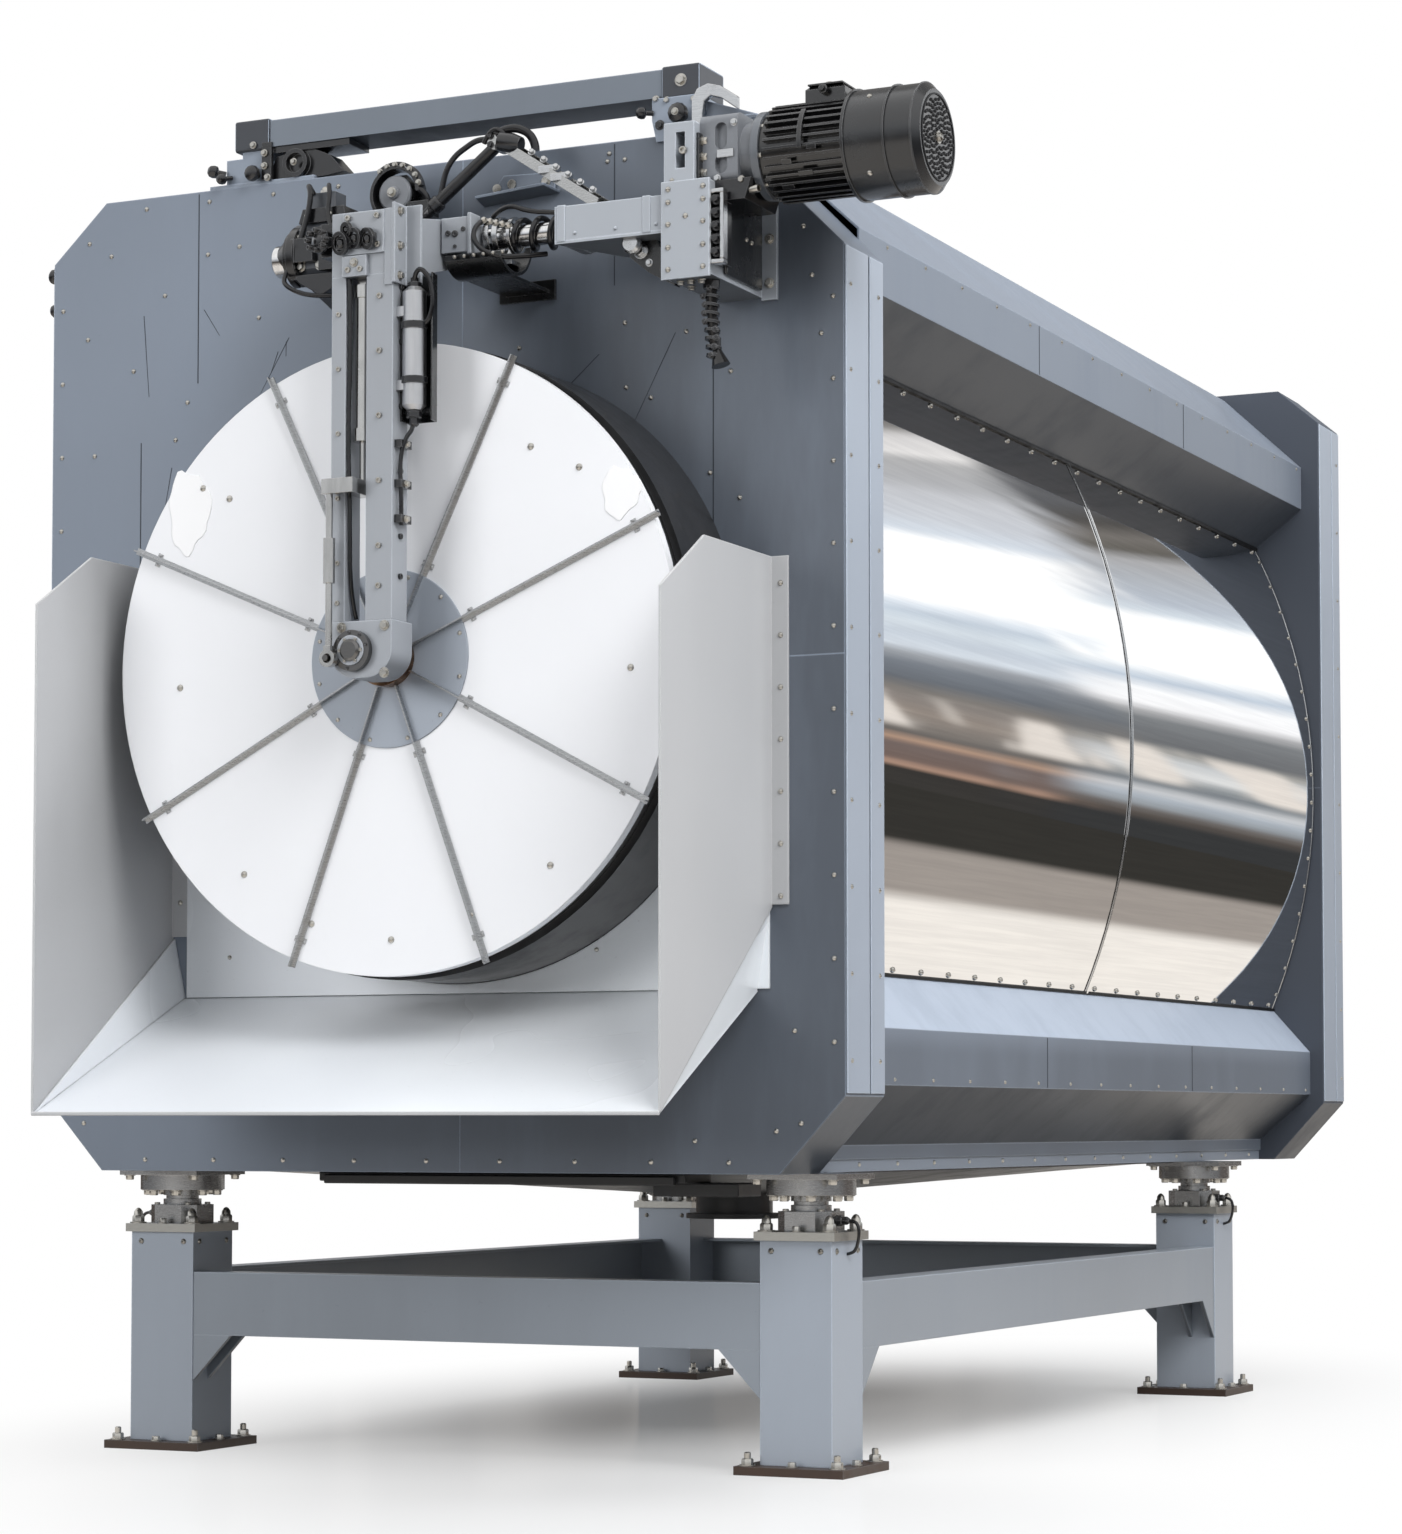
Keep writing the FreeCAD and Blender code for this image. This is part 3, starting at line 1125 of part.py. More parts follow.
def clamp_rod():
    """Cylinder rod, the link in front of the left strut and the pull rod to the crank."""
    y = (ARM_Y0 + ARM_Y1) / 2
    pin_x, pin_z = crank_pin_place()
    front_y = ARM_Y0 - BOSS_LENGTH - ROD_BEFORE_BOSS
    y0, y1 = front_y - ROD_BAR_HALF, front_y + ROD_BAR_HALF
    low = ROD_EYE_Z - ROD_BAR_HEIGHT
    end_x = CYLINDER_X + ROD_CLEVIS_HALF
    eye_r = CRANK_PIN_R + ROD_EYE_CLEARANCE
    neck = pin_z + eye_r
    piston = rod_z(ROD_EYE_Z, CYLINDER_BOTTOM + PISTON_IN_CYLINDER, CYLINDER_X, y, CYLINDER_ROD_R)
    clevis = block(CYLINDER_X - ROD_CLEVIS_HALF, end_x, y0, y + ROD_CLEVIS_HALF, low, ROD_EYE_Z)
    bar = block(pin_x - ROD_CLEVIS_HALF, end_x, y0, y1, low, ROD_EYE_Z)
    link = rod_z(neck, low + 1, pin_x, front_y, ROD_R)
    turnbuckle = rod_z(pin_z + TURNBUCKLE_RISE, pin_z + TURNBUCKLE_RISE + TURNBUCKLE_LENGTH, pin_x, front_y,
                       TURNBUCKLE_R)
    foot = rod_y(y0, y1, pin_x, pin_z, eye_r + ROD_EYE_WALL)
    shank = block(pin_x - ROD_EYE_WALL, pin_x + ROD_EYE_WALL, y0, y1, pin_z, neck + 2 * ROD_EYE_WALL)
    rod = fuse(piston, clevis, bar, link, turnbuckle, foot, shank)
    return rod.cut(rod_y(y0 - 1, y1 + 1, pin_x, pin_z, eye_r))


def clamp_crank():
    """Ring on the arm's boss with a pin that the pull rod lifts."""
    pin_x, pin_z = crank_pin_place()
    y1 = ARM_Y0 - CRANK_GAP
    y0 = y1 - CRANK_THICKNESS
    ring = rod_y(y0, y1, DRUM_X, DRUM_Z, CRANK_RING_R)
    ear = rod_y(y0, y1, pin_x, pin_z, CRANK_PIN_R + CRANK_EAR_WALL)
    pin = rod_y(y0 - CRANK_PIN_LENGTH, y1, pin_x, pin_z, CRANK_PIN_R)
    crank = fuse(ring, ear, pin)
    return crank.cut(rod_y(y0 - 1, y1 + 1, DRUM_X, DRUM_Z, BOSS_R + SHAFT_FIT))


def arm_reservoir():
    """Round canister strapped to the side of the right strut."""
    x = ARM_RIGHT_X + CANISTER_OUT
    y = ARM_Y0 + CANISTER_BACK
    r = CANISTER_R
    c = CANISTER_CHAMFER
    low, high = CANISTER_Z0, ARM_HEAD_BOTTOM - CANISTER_DROP
    canister = lathe_z([(0, low), (r - c, low), (r, low + c), (r, high - c), (r - c, high), (0, high)], x, y)
    w = STRAP_WIDTH
    straps = [block(ARM_RIGHT_X, x, y - w, y - w / 3, z, z + w) for z in (low + 2 * w, high - 3 * w)]
    return fuse(canister, *straps)


def arm_guard():
    """Bent guard sheet behind the canister, hung from the head."""
    x0, x1 = ARM_RIGHT_X, ARM_RIGHT_X + GUARD_WIDTH
    back = ARM_Y1 + GUARD_CLEARANCE
    line = [(x0, ARM_Y1 - GUARD_LAP), (x0, back), (x1, back), (x1 + GUARD_CLEARANCE, back - GUARD_LAP)]
    return plate_xy(fold(line, -GUARD_SHEET), GUARD_Z0, ARM_HEAD_BOTTOM)


def build_arm():
    save("arm_head", arm_head())
    save("arm_struts", strut(ARM_LEFT_X, ARM_LEFT_X + LEFT_STRUT_W), strut(ARM_RIGHT_X - RIGHT_STRUT_W, ARM_RIGHT_X))
    save("arm_hub_housing", hub_housing())
    save("arm_shaft_sleeve", shaft_sleeve())
    save("arm_torque_shaft", torque_shaft(), shaft_knob())
    save("clamp_cylinder", clamp_cylinder())
    save("clamp_rod", clamp_rod())
    save("clamp_crank", clamp_crank())
    save("arm_reservoir", arm_reservoir())
    save("arm_guard", arm_guard())


# Carrier, bearing block, gearmotor and top beam

def shaft_bore(x0, x1):
    return rod_x(x0, x1, SHAFT_Y, SHAFT_Z, TORQUE_SHAFT_R + SHAFT_FIT)


def left_bearing():
    """Bearing block of the torque shaft with a round flange towards the grip."""
    x0, x1 = BEARING_X0, BEARING_X1
    half = BEARING_HALF
    top = SHAFT_Z + BEARING_RISE
    body = block(x0, x1, SHAFT_Y - half, SHAFT_Y + half, SHAFT_Z - half, top)
    body = body.makeChamfer(BEARING_CHAMFER, [e for e in body.Edges if abs(e.tangentAt(0).x) > 0.9])
    flange = rod_x(x0 - BEARING_FLANGE, x0, SHAFT_Y, SHAFT_Z, BEARING_FLANGE_R)
    w = BEARING_CAP_HALF
    cap = block(x0 + w, x0 + 4 * w, SHAFT_Y - w, SHAFT_Y + w, top, top + BEARING_CAP_HEIGHT)
    return fuse(body, flange, cap).cut(shaft_bore(x0 - BEARING_FLANGE - 1, x1 + 1))


def left_bracket():
    """Welded bracket from the panel to the bearing block: two webs and a keel between two plates."""
    x0, x1 = BEARING_X0, BEARING_X1
    t = BRACKET_SHEET
    half = BEARING_HALF
    y0, y1 = SHAFT_Y + half, FACE_Y - t
    web = [(y1, SHAFT_Z - BRACKET_DEPTH), (y0 + t, SHAFT_Z - half), (y0 + t, SHAFT_Z + half),
           (y1, SHAFT_Z + BRACKET_RISE)]
    webs = [plate_yz(web, x, x + t) for x in (x0 + t, x1 - 2 * t)]
    back = block(x0 - t, x1 + t, y1, FACE_Y, SHAFT_Z - BRACKET_DEPTH - t, SHAFT_Z + BRACKET_RISE + t)
    front = block(x0, x1, y0, y0 + t, SHAFT_Z - half, SHAFT_Z + half)
    keel = [(y1, SHAFT_Z - BRACKET_DEPTH), (SHAFT_Y - half, SHAFT_Z - half - t), (SHAFT_Y - half, SHAFT_Z - half),
            (y0 + t, SHAFT_Z - half), (y1, SHAFT_Z - BRACKET_DEPTH + 2 * t)]
    shelf = plate_yz(keel, x0 + 2 * t, x1 - 2 * t)
    return fuse(back, front, shelf, *webs)


def shaft_saddle():
    """Curved guard under the sleeve and the bare shaft, on a tongue from the panel."""
    x0, x1 = SADDLE_X0, SADDLE_X1
    t = SADDLE_SHEET
    outer = SADDLE_R + t
    ring = rod_x(x0, x1, SHAFT_Y, SHAFT_Z, outer)
    ring = ring.cut(rod_x(x0 - 1, x1 + 1, SHAFT_Y, SHAFT_Z, SADDLE_R))
    ring = ring.common(block(x0, x1, SHAFT_Y - SADDLE_FRONT, SHAFT_Y + outer, SHAFT_Z - outer, SHAFT_Z - t))
    low = SHAFT_Z - outer
    tongue = block(x0 + 2 * t, x1 - 2 * t, SHAFT_Y, FACE_Y, low, low + t)
    foot = block(x0, x1, FACE_Y - t, FACE_Y, low - 2 * t, low + 4 * t)
    return fuse(ring, tongue, foot)


def guide_bracket():
    """Bracket beside the arm's head with a round boss and a clip for the conduit's foot."""
    x, z = GUIDE_X, GUIDE_Z
    t = BRACKET_SHEET
    half = GUIDE_HALF
    front = FACE_Y - GUIDE_AHEAD
    web = [(x - half, z - GUIDE_DROP), (x + half, z - GUIDE_DROP), (x + half, z - t), (x + t, z + GUIDE_RISE),
           (x - half / 2, z + GUIDE_RISE)]
    plate = plate_xz(web, front, front + t)
    boss = rod_y(front - GUIDE_BOSS, front, x, z, GUIDE_BOSS_R)
    shelf = block(x - half / 2, x + half / 2, front + t, FACE_Y, z - GUIDE_DROP, z - GUIDE_DROP + t)
    clip = block(x + half / 2, x + half + CLIP_OVERHANG, FACE_Y - CONDUIT_AHEAD - CONDUIT_R, front + t,
                 z - GUIDE_DROP, z - GUIDE_BOSS)
    return fuse(plate, boss, shelf, clip).cut(main_conduit())


def housing_lever():
    """Black rocker plate that hangs under the housing beside the carrier."""
    x1 = CARRIER_X0 - LEVER_GAP
    x0 = x1 - LEVER_LENGTH
    w = LEVER_WIDTH
    top = SHAFT_Z - HOUSING_HEIGHT / 2 - GUSSET_SHEET
    low = top - LEVER_DROP
    outline = [(x0, top), (x0 + 2 * w, top), (x1, low + w / 2), (x1, low), (x0 + 1.5 * w, low + w), (x0, top - w)]
    return plate_xz(outline, SHAFT_Y - LEVER_HALF, SHAFT_Y + LEVER_HALF)


def shaft_housing():
    y0 = SHAFT_Y - HOUSING_DEPTH / 2
    y1 = SHAFT_Y + HOUSING_DEPTH / 2
    half = HOUSING_HEIGHT / 2
    body = block(HOUSING_X0, CARRIER_X0, y0, y1, SHAFT_Z - half, SHAFT_Z + half)
    return body.cut(shaft_bore(HOUSING_X0 - 1, CARRIER_X0 + 1))


def housing_gusset():
    """Pale plate under the housing, back to the panel."""
    low = SHAFT_Z - HOUSING_HEIGHT / 2
    y0 = SHAFT_Y - HOUSING_DEPTH / 2
    outline = [(HOUSING_X0, y0), (CARRIER_X0, y0), (CARRIER_X0, FACE_Y), (HOUSING_X0 + GUSSET_SETBACK, FACE_Y)]
    return plate_xy(outline, low - GUSSET_SHEET, low)


def carrier():
    """Box on the panel that ends the housing, with a thicker front plate and a flange."""
    s = CARRIER_SHEET
    outer = block(CARRIER_X0, CARRIER_X1, CARRIER_Y0, FACE_Y, CARRIER_Z0, CARRIER_Z1)
    core = block(CARRIER_X0 + s, CARRIER_X1 - s, CARRIER_Y0 + s, FACE_Y + 1, CARRIER_Z0 + s, CARRIER_Z1 - s)
    flange = block(CARRIER_X1, CARRIER_X1 + 34, FACE_Y - s, FACE_Y, CARRIER_Z0 - 6, CARRIER_Z1 + 16)
    return fuse(outer.cut(core), flange).cut(shaft_bore(CARRIER_X0 - 1, CARRIER_X1 - s - 1))


def carrier_post():
    post = block(CARRIER_X0, POST_X1, CARRIER_Y0, CARRIER_Y0 + 110, CARRIER_Z1, POST_TOP)
    slot = block(CARRIER_X0 + 26, POST_X1 - 20, CARRIER_Y0 - 1, CARRIER_Y0 + 60, CARRIER_Z1 + 28, POST_TOP - 20)
    return post.cut(slot)


def gear_case():
    """Parallel-shaft gear case between the post and the motor, with two keyhole slots in its face."""
    g = GEARCASE_HALF
    case = block(POST_X1, GEARCASE_X1 - 30, MOTOR_Y - g, MOTOR_Y + g, CARRIER_Z1, MOTOR_Z + g)
    case = case.makeFillet(16, [e for e in case.Edges if abs(e.tangentAt(0).x) > 0.9])
    mid = (POST_X1 + GEARCASE_X1) / 2 - 10
    face = MOTOR_Y - g
    for low, high in ((MOTOR_Z + 18, MOTOR_Z + 46), (MOTOR_Z - 30, MOTOR_Z - 18)):
        slot = fuse(rod_y(face - 1, face + 12, mid, high, 13), rod_y(face - 1, face + 12, mid, low, 13),
                    block(mid - 13, mid + 13, face - 1, face + 12, low, high))
        case = case.cut(slot)
    step = lathe_x([(GEARCASE_X1 - 30, 0), (GEARCASE_X1 - 30, g - 8), (GEARCASE_X1, g - 14), (GEARCASE_X1, 0)],
                   MOTOR_Y, MOTOR_Z)
    return fuse(case, step)


def motor_body():
    x0 = GEARCASE_X1 + MOTOR_FLANGE_T
    fin = block(x0 + 14, MOTOR_BODY_X1, -FIN_WIDTH / 2, FIN_WIDTH / 2, MOTOR_BODY_R - 4, MOTOR_BODY_R + FIN_HEIGHT)
    fins = []
    for i in range(FIN_COUNT):
        copy = fin.copy()
        copy.rotate(V(0, 0, 0), V(1, 0, 0), (i + 0.5) * 360 / FIN_COUNT)
        copy.translate(V(0, MOTOR_Y, MOTOR_Z))
        fins.append(copy)
    core = lathe_x([(x0, 0), (x0, MOTOR_BODY_R), (MOTOR_BODY_X1, MOTOR_BODY_R), (MOTOR_BODY_X1 + 40, 34),
                    (MOTOR_BODY_X1 + 40, 0)], MOTOR_Y, MOTOR_Z)
    body = core.fuse(fins)
    return body.cut(rod_x(MOTOR_BODY_X1 + 5, MOTOR_BODY_X1 + 41, MOTOR_Y, MOTOR_Z, 12 + SHAFT_FIT))


def terminal_box():
    x0, x1 = TERMINAL_X0, TERMINAL_X0 + TERMINAL_LENGTH
    half = TERMINAL_LENGTH / 2
    z0 = MOTOR_Z + MOTOR_BODY_R + FIN_HEIGHT
    box = block(x0, x1, MOTOR_Y - half, MOTOR_Y + half, z0 - FIN_HEIGHT, z0 + TERMINAL_HEIGHT)
    box = box.makeChamfer(8, [e for e in box.Edges if e.CenterOfMass.z > z0 + TERMINAL_HEIGHT - 2])
    saddle = rod_x(x0 - 1, x1 + 1, MOTOR_Y, MOTOR_Z, MOTOR_BODY_R + FIN_HEIGHT + FIN_FIT)
    return box.cut(saddle)


def fan_cowl():
    """Sheet cowl over the fan, with a round grille of drilled holes."""
    t = COWL_SHEET_T
    x0 = MOTOR_BODY_X1 - 12
    profile = [(x0, COWL_R), (COWL_X1 - 14, COWL_R), (COWL_X1, COWL_R - 14), (COWL_X1, 0), (COWL_X1 - t, 0),
               (COWL_X1 - t, COWL_R - 14 - t / 2), (COWL_X1 - 14 - t / 2, COWL_R - t), (x0, COWL_R - t)]
    cowl = lathe_x(profile, MOTOR_Y, MOTOR_Z)
    return cowl


def cowl_ring():
    """Ring that carries the cowl on the fins' ends."""
    x0 = MOTOR_BODY_X1 - 12
    outer = rod_x(x0, MOTOR_BODY_X1 - 2, MOTOR_Y, MOTOR_Z, COWL_R - COWL_SHEET_T)
    return outer.cut(rod_x(x0 - 1, MOTOR_BODY_X1, MOTOR_Y, MOTOR_Z, MOTOR_BODY_R + FIN_HEIGHT + FIN_FIT))


def motor_fan():
    """Fan with radial blades on the rotor's shaft."""
    x0 = MOTOR_BODY_X1 + 46
    x1 = x0 + 46
    hub = rod_x(x0, x1, MOTOR_Y, MOTOR_Z, 26)
    plate = rod_x(x0, x0 + 4, MOTOR_Y, MOTOR_Z, FAN_R)
    shaft = rod_x(MOTOR_BODY_X1 + 6, COWL_X1 - 16, MOTOR_Y, MOTOR_Z, 12)
    blade = block(x0, x1, -2, 2, 20, FAN_R)
    blades = []
    for i in range(FAN_BLADES):
        copy = blade.copy()
        copy.rotate(V(0, 0, 0), V(1, 0, 0), i * 360 / FAN_BLADES)
        copy.translate(V(0, MOTOR_Y, MOTOR_Z))
        blades.append(copy)
    return fuse(hub, plate, shaft, *blades)


def stay_points():
    """Conduit's foot at the guide bracket, the knuckle at the top and the foot on the housing."""
    y = FACE_Y - CONDUIT_AHEAD
    foot = V(GUIDE_X + 50, y, GUIDE_Z - 66)
    knuckle = V(KNUCKLE_X, y, KNUCKLE_Z)
    housing = V(STAY_FOOT_X, SHAFT_Y, SHAFT_Z + HOUSING_HEIGHT / 2)
    return foot, knuckle, housing


def bar_between(a, b, section):
    """Bar of the given (across, up) outline from a to b; up stays near +Z."""
    along = b - a
    length = along.Length
    along.normalize()
    across = along.cross(V(0, 0, 1))
    across.normalize()
    up = across.cross(along)
    corners = [a + across * u + up * v for u, v in section]
    return Part.Face(Part.makePolygon(corners + corners[:1])).extrude(along * length)


def hose_stay():
    """Channel-shaped stay from the housing's top up to the knuckle where the conduit ends."""
    foot, knuckle, housing = stay_points()
    h, d, t = 15.0, 22.0, 3.0
    section = [(-h, -d / 2), (h, -d / 2), (h, d / 2), (h - t, d / 2), (h - t, t - d / 2),
               (t - h, t - d / 2), (t - h, d / 2), (-h, d / 2)]
    bar = bar_between(knuckle, housing + V(0, 0, d / 2), section)
    pivot = rod_y(knuckle.y - KNUCKLE_R, knuckle.y + KNUCKLE_R, knuckle.x, knuckle.z, KNUCKLE_R)
    base = block(housing.x - 24, housing.x + 24, housing.y - 20, housing.y + 20, housing.z, housing.z + 6)
    bar = bar.cut(block(housing.x - 60, housing.x + 60, housing.y - 60, housing.y + 60,
                        housing.z - 60, housing.z))
    return fuse(bar, pivot, base)


def conduit(points, r):
    """Round tube along straight runs with a tangent arc at each inner point."""
    edges = []
    start = points[0]
    for i in range(1, len(points) - 1):
        before, here, after = points[i - 1], points[i], points[i + 1]
        u, w = before - here, after - here
        trim = 0.45 * min(u.Length, w.Length)
        u.normalize()
        w.normalize()
        turn = math.pi - u.getAngle(w)
        radius = trim / math.tan(turn / 2)
        middle = u + w
        middle.normalize()
        centre = here + middle * math.hypot(trim, radius)
        a, b = here + u * trim, here + w * trim
        edges += [Part.makeLine(start, a), Part.Arc(a, centre - middle * radius, b).toShape()]
        start = b
    edges.append(Part.makeLine(start, points[-1]))
    path = Part.Wire(edges)
    heading = points[1] - points[0]
    ring = Part.Wire(Part.makeCircle(r, points[0], heading))
    return path.makePipeShell([ring], True, False)


def main_conduit():
    """Straight conduit from the guide bracket up to the knuckle."""
    foot, knuckle = stay_points()[:2]
    return Part.makeCylinder(CONDUIT_R, (knuckle - foot).Length, foot, knuckle - foot)


def conduits():
    """Main conduit and the thinner tube that leaves it and bends over into the knuckle."""
    foot, knuckle = stay_points()[:2]
    y = knuckle.y
    bend = [V(foot.x + 52, y, foot.z + 40), V(foot.x + 72, y, foot.z + 124), V(foot.x + 146, y, foot.z + 164),
            knuckle]
    pivot = rod_y(y - KNUCKLE_R - 1, y + KNUCKLE_R + 1, knuckle.x, knuckle.z, KNUCKLE_R)
    main = main_conduit()
    return main.cut(pivot), conduit(bend, THIN_CONDUIT_R).cut(main.fuse(pivot))


def gooseneck_sensor():
    """Jointed gooseneck under the carrier, each joint seated in the one above, with the sensor's head."""
    place = V(GOOSENECK_X, CARRIER_Y0 + GOOSENECK_BACK, CARRIER_Z0)
    heading = V(0, 0, -1)
    socket = Part.makeCylinder(GOOSENECK_SOCKET_R, GOOSENECK_SOCKET, place, heading)
    place = place + heading * GOOSENECK_SOCKET
    joints = []
    for i in range(GOOSENECK_JOINTS):
        joints.append(Part.makeCone(GOOSENECK_R, GOOSENECK_TIP_R, GOOSENECK_PITCH, place, heading))
        place = place + heading * (GOOSENECK_PITCH - GOOSENECK_SEAT)
        heading = V(math.sin(GOOSENECK_TURN * i), 0, -math.cos(GOOSENECK_TURN * i))
    head = Part.makeCone(GOOSENECK_TIP_R, SENSOR_R, SENSOR_LENGTH, place, heading)
    return fuse(socket, head, *joints)


def top_beam():
    y0 = FACE_Y
    y1 = FACE_Y + TOP_BEAM_DEPTH
    z1 = TOP_BEAM_Z0 + TOP_BEAM_HEIGHT
    x0 = TOP_BEAM_X0 + END_BLOCK
    x1 = TOP_BEAM_X1 - END_BLOCK
    outer = block(x0, x1, y0, y1, TOP_BEAM_Z0, z1)
    return outer.cut(block(x0 - 1, x1 + 1, y0 + 5, y1 - 5, TOP_BEAM_Z0 + 5, z1 - 5))


def beam_end_blocks():
    y0 = FACE_Y - 4
    y1 = FACE_Y + TOP_BEAM_DEPTH + 4
    z0, z1 = TOP_BEAM_Z0 - 4, TOP_BEAM_Z0 + TOP_BEAM_HEIGHT + 4
    blocks = []
    for x0 in (TOP_BEAM_X0, TOP_BEAM_X1 - END_BLOCK):
        body = block(x0, x0 + END_BLOCK, y0, y1, z0, z1)
        blocks.append(body.makeChamfer(4, [e for e in body.Edges if abs(e.tangentAt(0).x) > 0.9]))
    return blocks


def beam_brackets():
    """Fabricated stools that carry the beam's end blocks on the panel's top edge."""
    z0 = FRONT_PANEL_TOP
    z1 = TOP_BEAM_Z0 - 4
    y1 = FACE_Y + TOP_BEAM_DEPTH
    right = TOP_BEAM_X1 - END_BLOCK
    left = TOP_BEAM_X0
    base = block(left - 66, left + 196, FACE_Y, y1, z0, z0 + 8)
    step = z0 + 40
    side = [(left - 26, z0 + 8), (left + END_BLOCK, z0 + 8), (left + END_BLOCK, z1), (left + 14, z1),
            (left + 14, z1 - 14), (left - 26, z1 - 14)]
    webs = [plate_xz(side, y, y + 10) for y in (FACE_Y + 4, y1 - 14)]
    box = plate_xz([(left + END_BLOCK + 14, z0 + 8), (left + 190, z0 + 8), (left + 176, step), (left + 140, z1 - 12),
                    (left + END_BLOCK + 30, z1 - 8)], FACE_Y + 20, y1 - 20)
    left_stool = fuse(base, box, *webs)
    cheek = [(right - 20, z1), (right + END_BLOCK, z1), (right + END_BLOCK, z0 - 14), (right - 10, z0 - 14),
             (right - 20, z0 + 30)]
    web = [(right, z0), (right + END_BLOCK, z0), (right + END_BLOCK, z1), (right, z1)]
    right_stool = fuse(plate_xz(cheek, FACE_Y - 10, FACE_Y), plate_xz(web, FACE_Y, FACE_Y + 12),
                       plate_xz(web, y1 - 14, y1 - 4), block(right, right + END_BLOCK, FACE_Y, y1, z1 - 8, z1),
                       block(right, right + END_BLOCK, FACE_Y, y1, z0, z0 + 8))
    return left_stool, right_stool


def build_drive():
    save("shaft_bearing_block", left_bearing(), left_bracket())
    save("panel_brackets", shaft_saddle(), guide_bracket(), housing_lever())
    save("hose_stay", hose_stay())
    save("conduit_tubes", *conduits())
    save("gooseneck_sensor", gooseneck_sensor())
    save("shaft_housing", shaft_housing(), housing_gusset())
    save("carrier_box", carrier(), carrier_post())
    save("arm_gear_case", gear_case())
    save("motor_flange", rod_x(GEARCASE_X1, GEARCASE_X1 + MOTOR_FLANGE_T, MOTOR_Y, MOTOR_Z, MOTOR_FLANGE_R))
    save("arm_motor_body", motor_body(), terminal_box())
    save("fan_cowl", fan_cowl(), cowl_ring())
    save("motor_fan", motor_fan())
    save("top_beam", top_beam())
    save("beam_brackets", *beam_end_blocks(), *beam_brackets())


build_stand()
build_casing()
build_drum()
build_chute()
build_door()
build_arm()
build_drive()
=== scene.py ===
import json
import math
import random

import bmesh
import bpy
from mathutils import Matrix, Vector


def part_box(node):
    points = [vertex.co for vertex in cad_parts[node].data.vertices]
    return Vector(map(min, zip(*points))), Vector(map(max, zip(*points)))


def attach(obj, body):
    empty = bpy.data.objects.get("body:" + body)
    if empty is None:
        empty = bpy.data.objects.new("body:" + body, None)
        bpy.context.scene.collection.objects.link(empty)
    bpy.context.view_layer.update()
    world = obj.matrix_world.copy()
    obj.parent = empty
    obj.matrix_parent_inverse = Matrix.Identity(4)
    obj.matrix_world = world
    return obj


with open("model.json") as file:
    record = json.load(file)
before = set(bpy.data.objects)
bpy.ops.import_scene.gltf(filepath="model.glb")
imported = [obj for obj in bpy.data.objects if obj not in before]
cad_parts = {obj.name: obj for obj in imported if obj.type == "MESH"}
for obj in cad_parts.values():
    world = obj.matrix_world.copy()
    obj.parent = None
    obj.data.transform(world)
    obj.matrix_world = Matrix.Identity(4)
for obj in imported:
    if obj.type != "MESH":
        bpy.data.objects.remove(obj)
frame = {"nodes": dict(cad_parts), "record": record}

X, Y, Z = Vector((1, 0, 0)), Vector((0, 1, 0)), Vector((0, 0, 1))
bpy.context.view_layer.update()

# Places on the machine, in metres
FACE_Y = -1.533
REAR_Y = 2.072
SIDE_Y0, SIDE_Y1 = -1.334, 1.873
PANEL_HALF = 0.950
CASING_Z = 0.613
PANEL_TOP = 2.740
LEFT_CHAMFER, RIGHT_CHAMFER = 0.125, 0.260
ROOF_TOP = 2.765
SEAM_Y = FACE_Y + 1.818
SKIN_FOOT, SKIN_BELLY, SKIN_TOP = (0.806, 1.030), (0.931, 1.650), (0.765, 2.335)
FRONT = (0.0, FACE_Y, 0.0)
ARM_Y = -1.973
ARM_FRONT = (0.0, ARM_Y, 0.0)
DRUM = Vector((0.080, 0.0, 1.652))
DOOR_Y = -1.833
SHAFT = Vector((0.0, -1.718, 2.516))
MOTOR = Vector((0.0, -1.683, 2.628))
MOTOR_END = 1.212
GOLDEN_ANGLE = 2.39996
LEGS = [(sx * 0.764, sy * 1.277) for sy in (-1, 1) for sx in (-1, 1)]


# Finishes

class Field:
    """A number that varies over a surface, with arithmetic."""

    def __init__(self, graph, socket):
        self.graph = graph
        self.socket = socket

    def _math(self, operation, *values):
        return self.graph.node("ShaderNodeMath", {"operation": operation}, dict(enumerate(values)))

    def __add__(self, other):
        return self._math("ADD", self, other)

    def __sub__(self, other):
        return self._math("SUBTRACT", self, other)

    def __rsub__(self, other):
        return self._math("SUBTRACT", other, self)

    def __mul__(self, other):
        return self._math("MULTIPLY", self, other)

    def most(self, other):
        return self._math("MAXIMUM", self, other)

    def size(self):
        return self._math("ABSOLUTE", self)

    def ramp(self, low, high):
        """0 below low, 1 above high, smooth between; a falling ramp when low > high."""
        first, last, start, end = (low, high, 0.0, 1.0) if low < high else (high, low, 1.0, 0.0)
        return self.graph.node("ShaderNodeMapRange", {"interpolation_type": "SMOOTHSTEP"},
                               {"Value": self, "From Min": first, "From Max": last,
                                "To Min": start, "To Max": end})


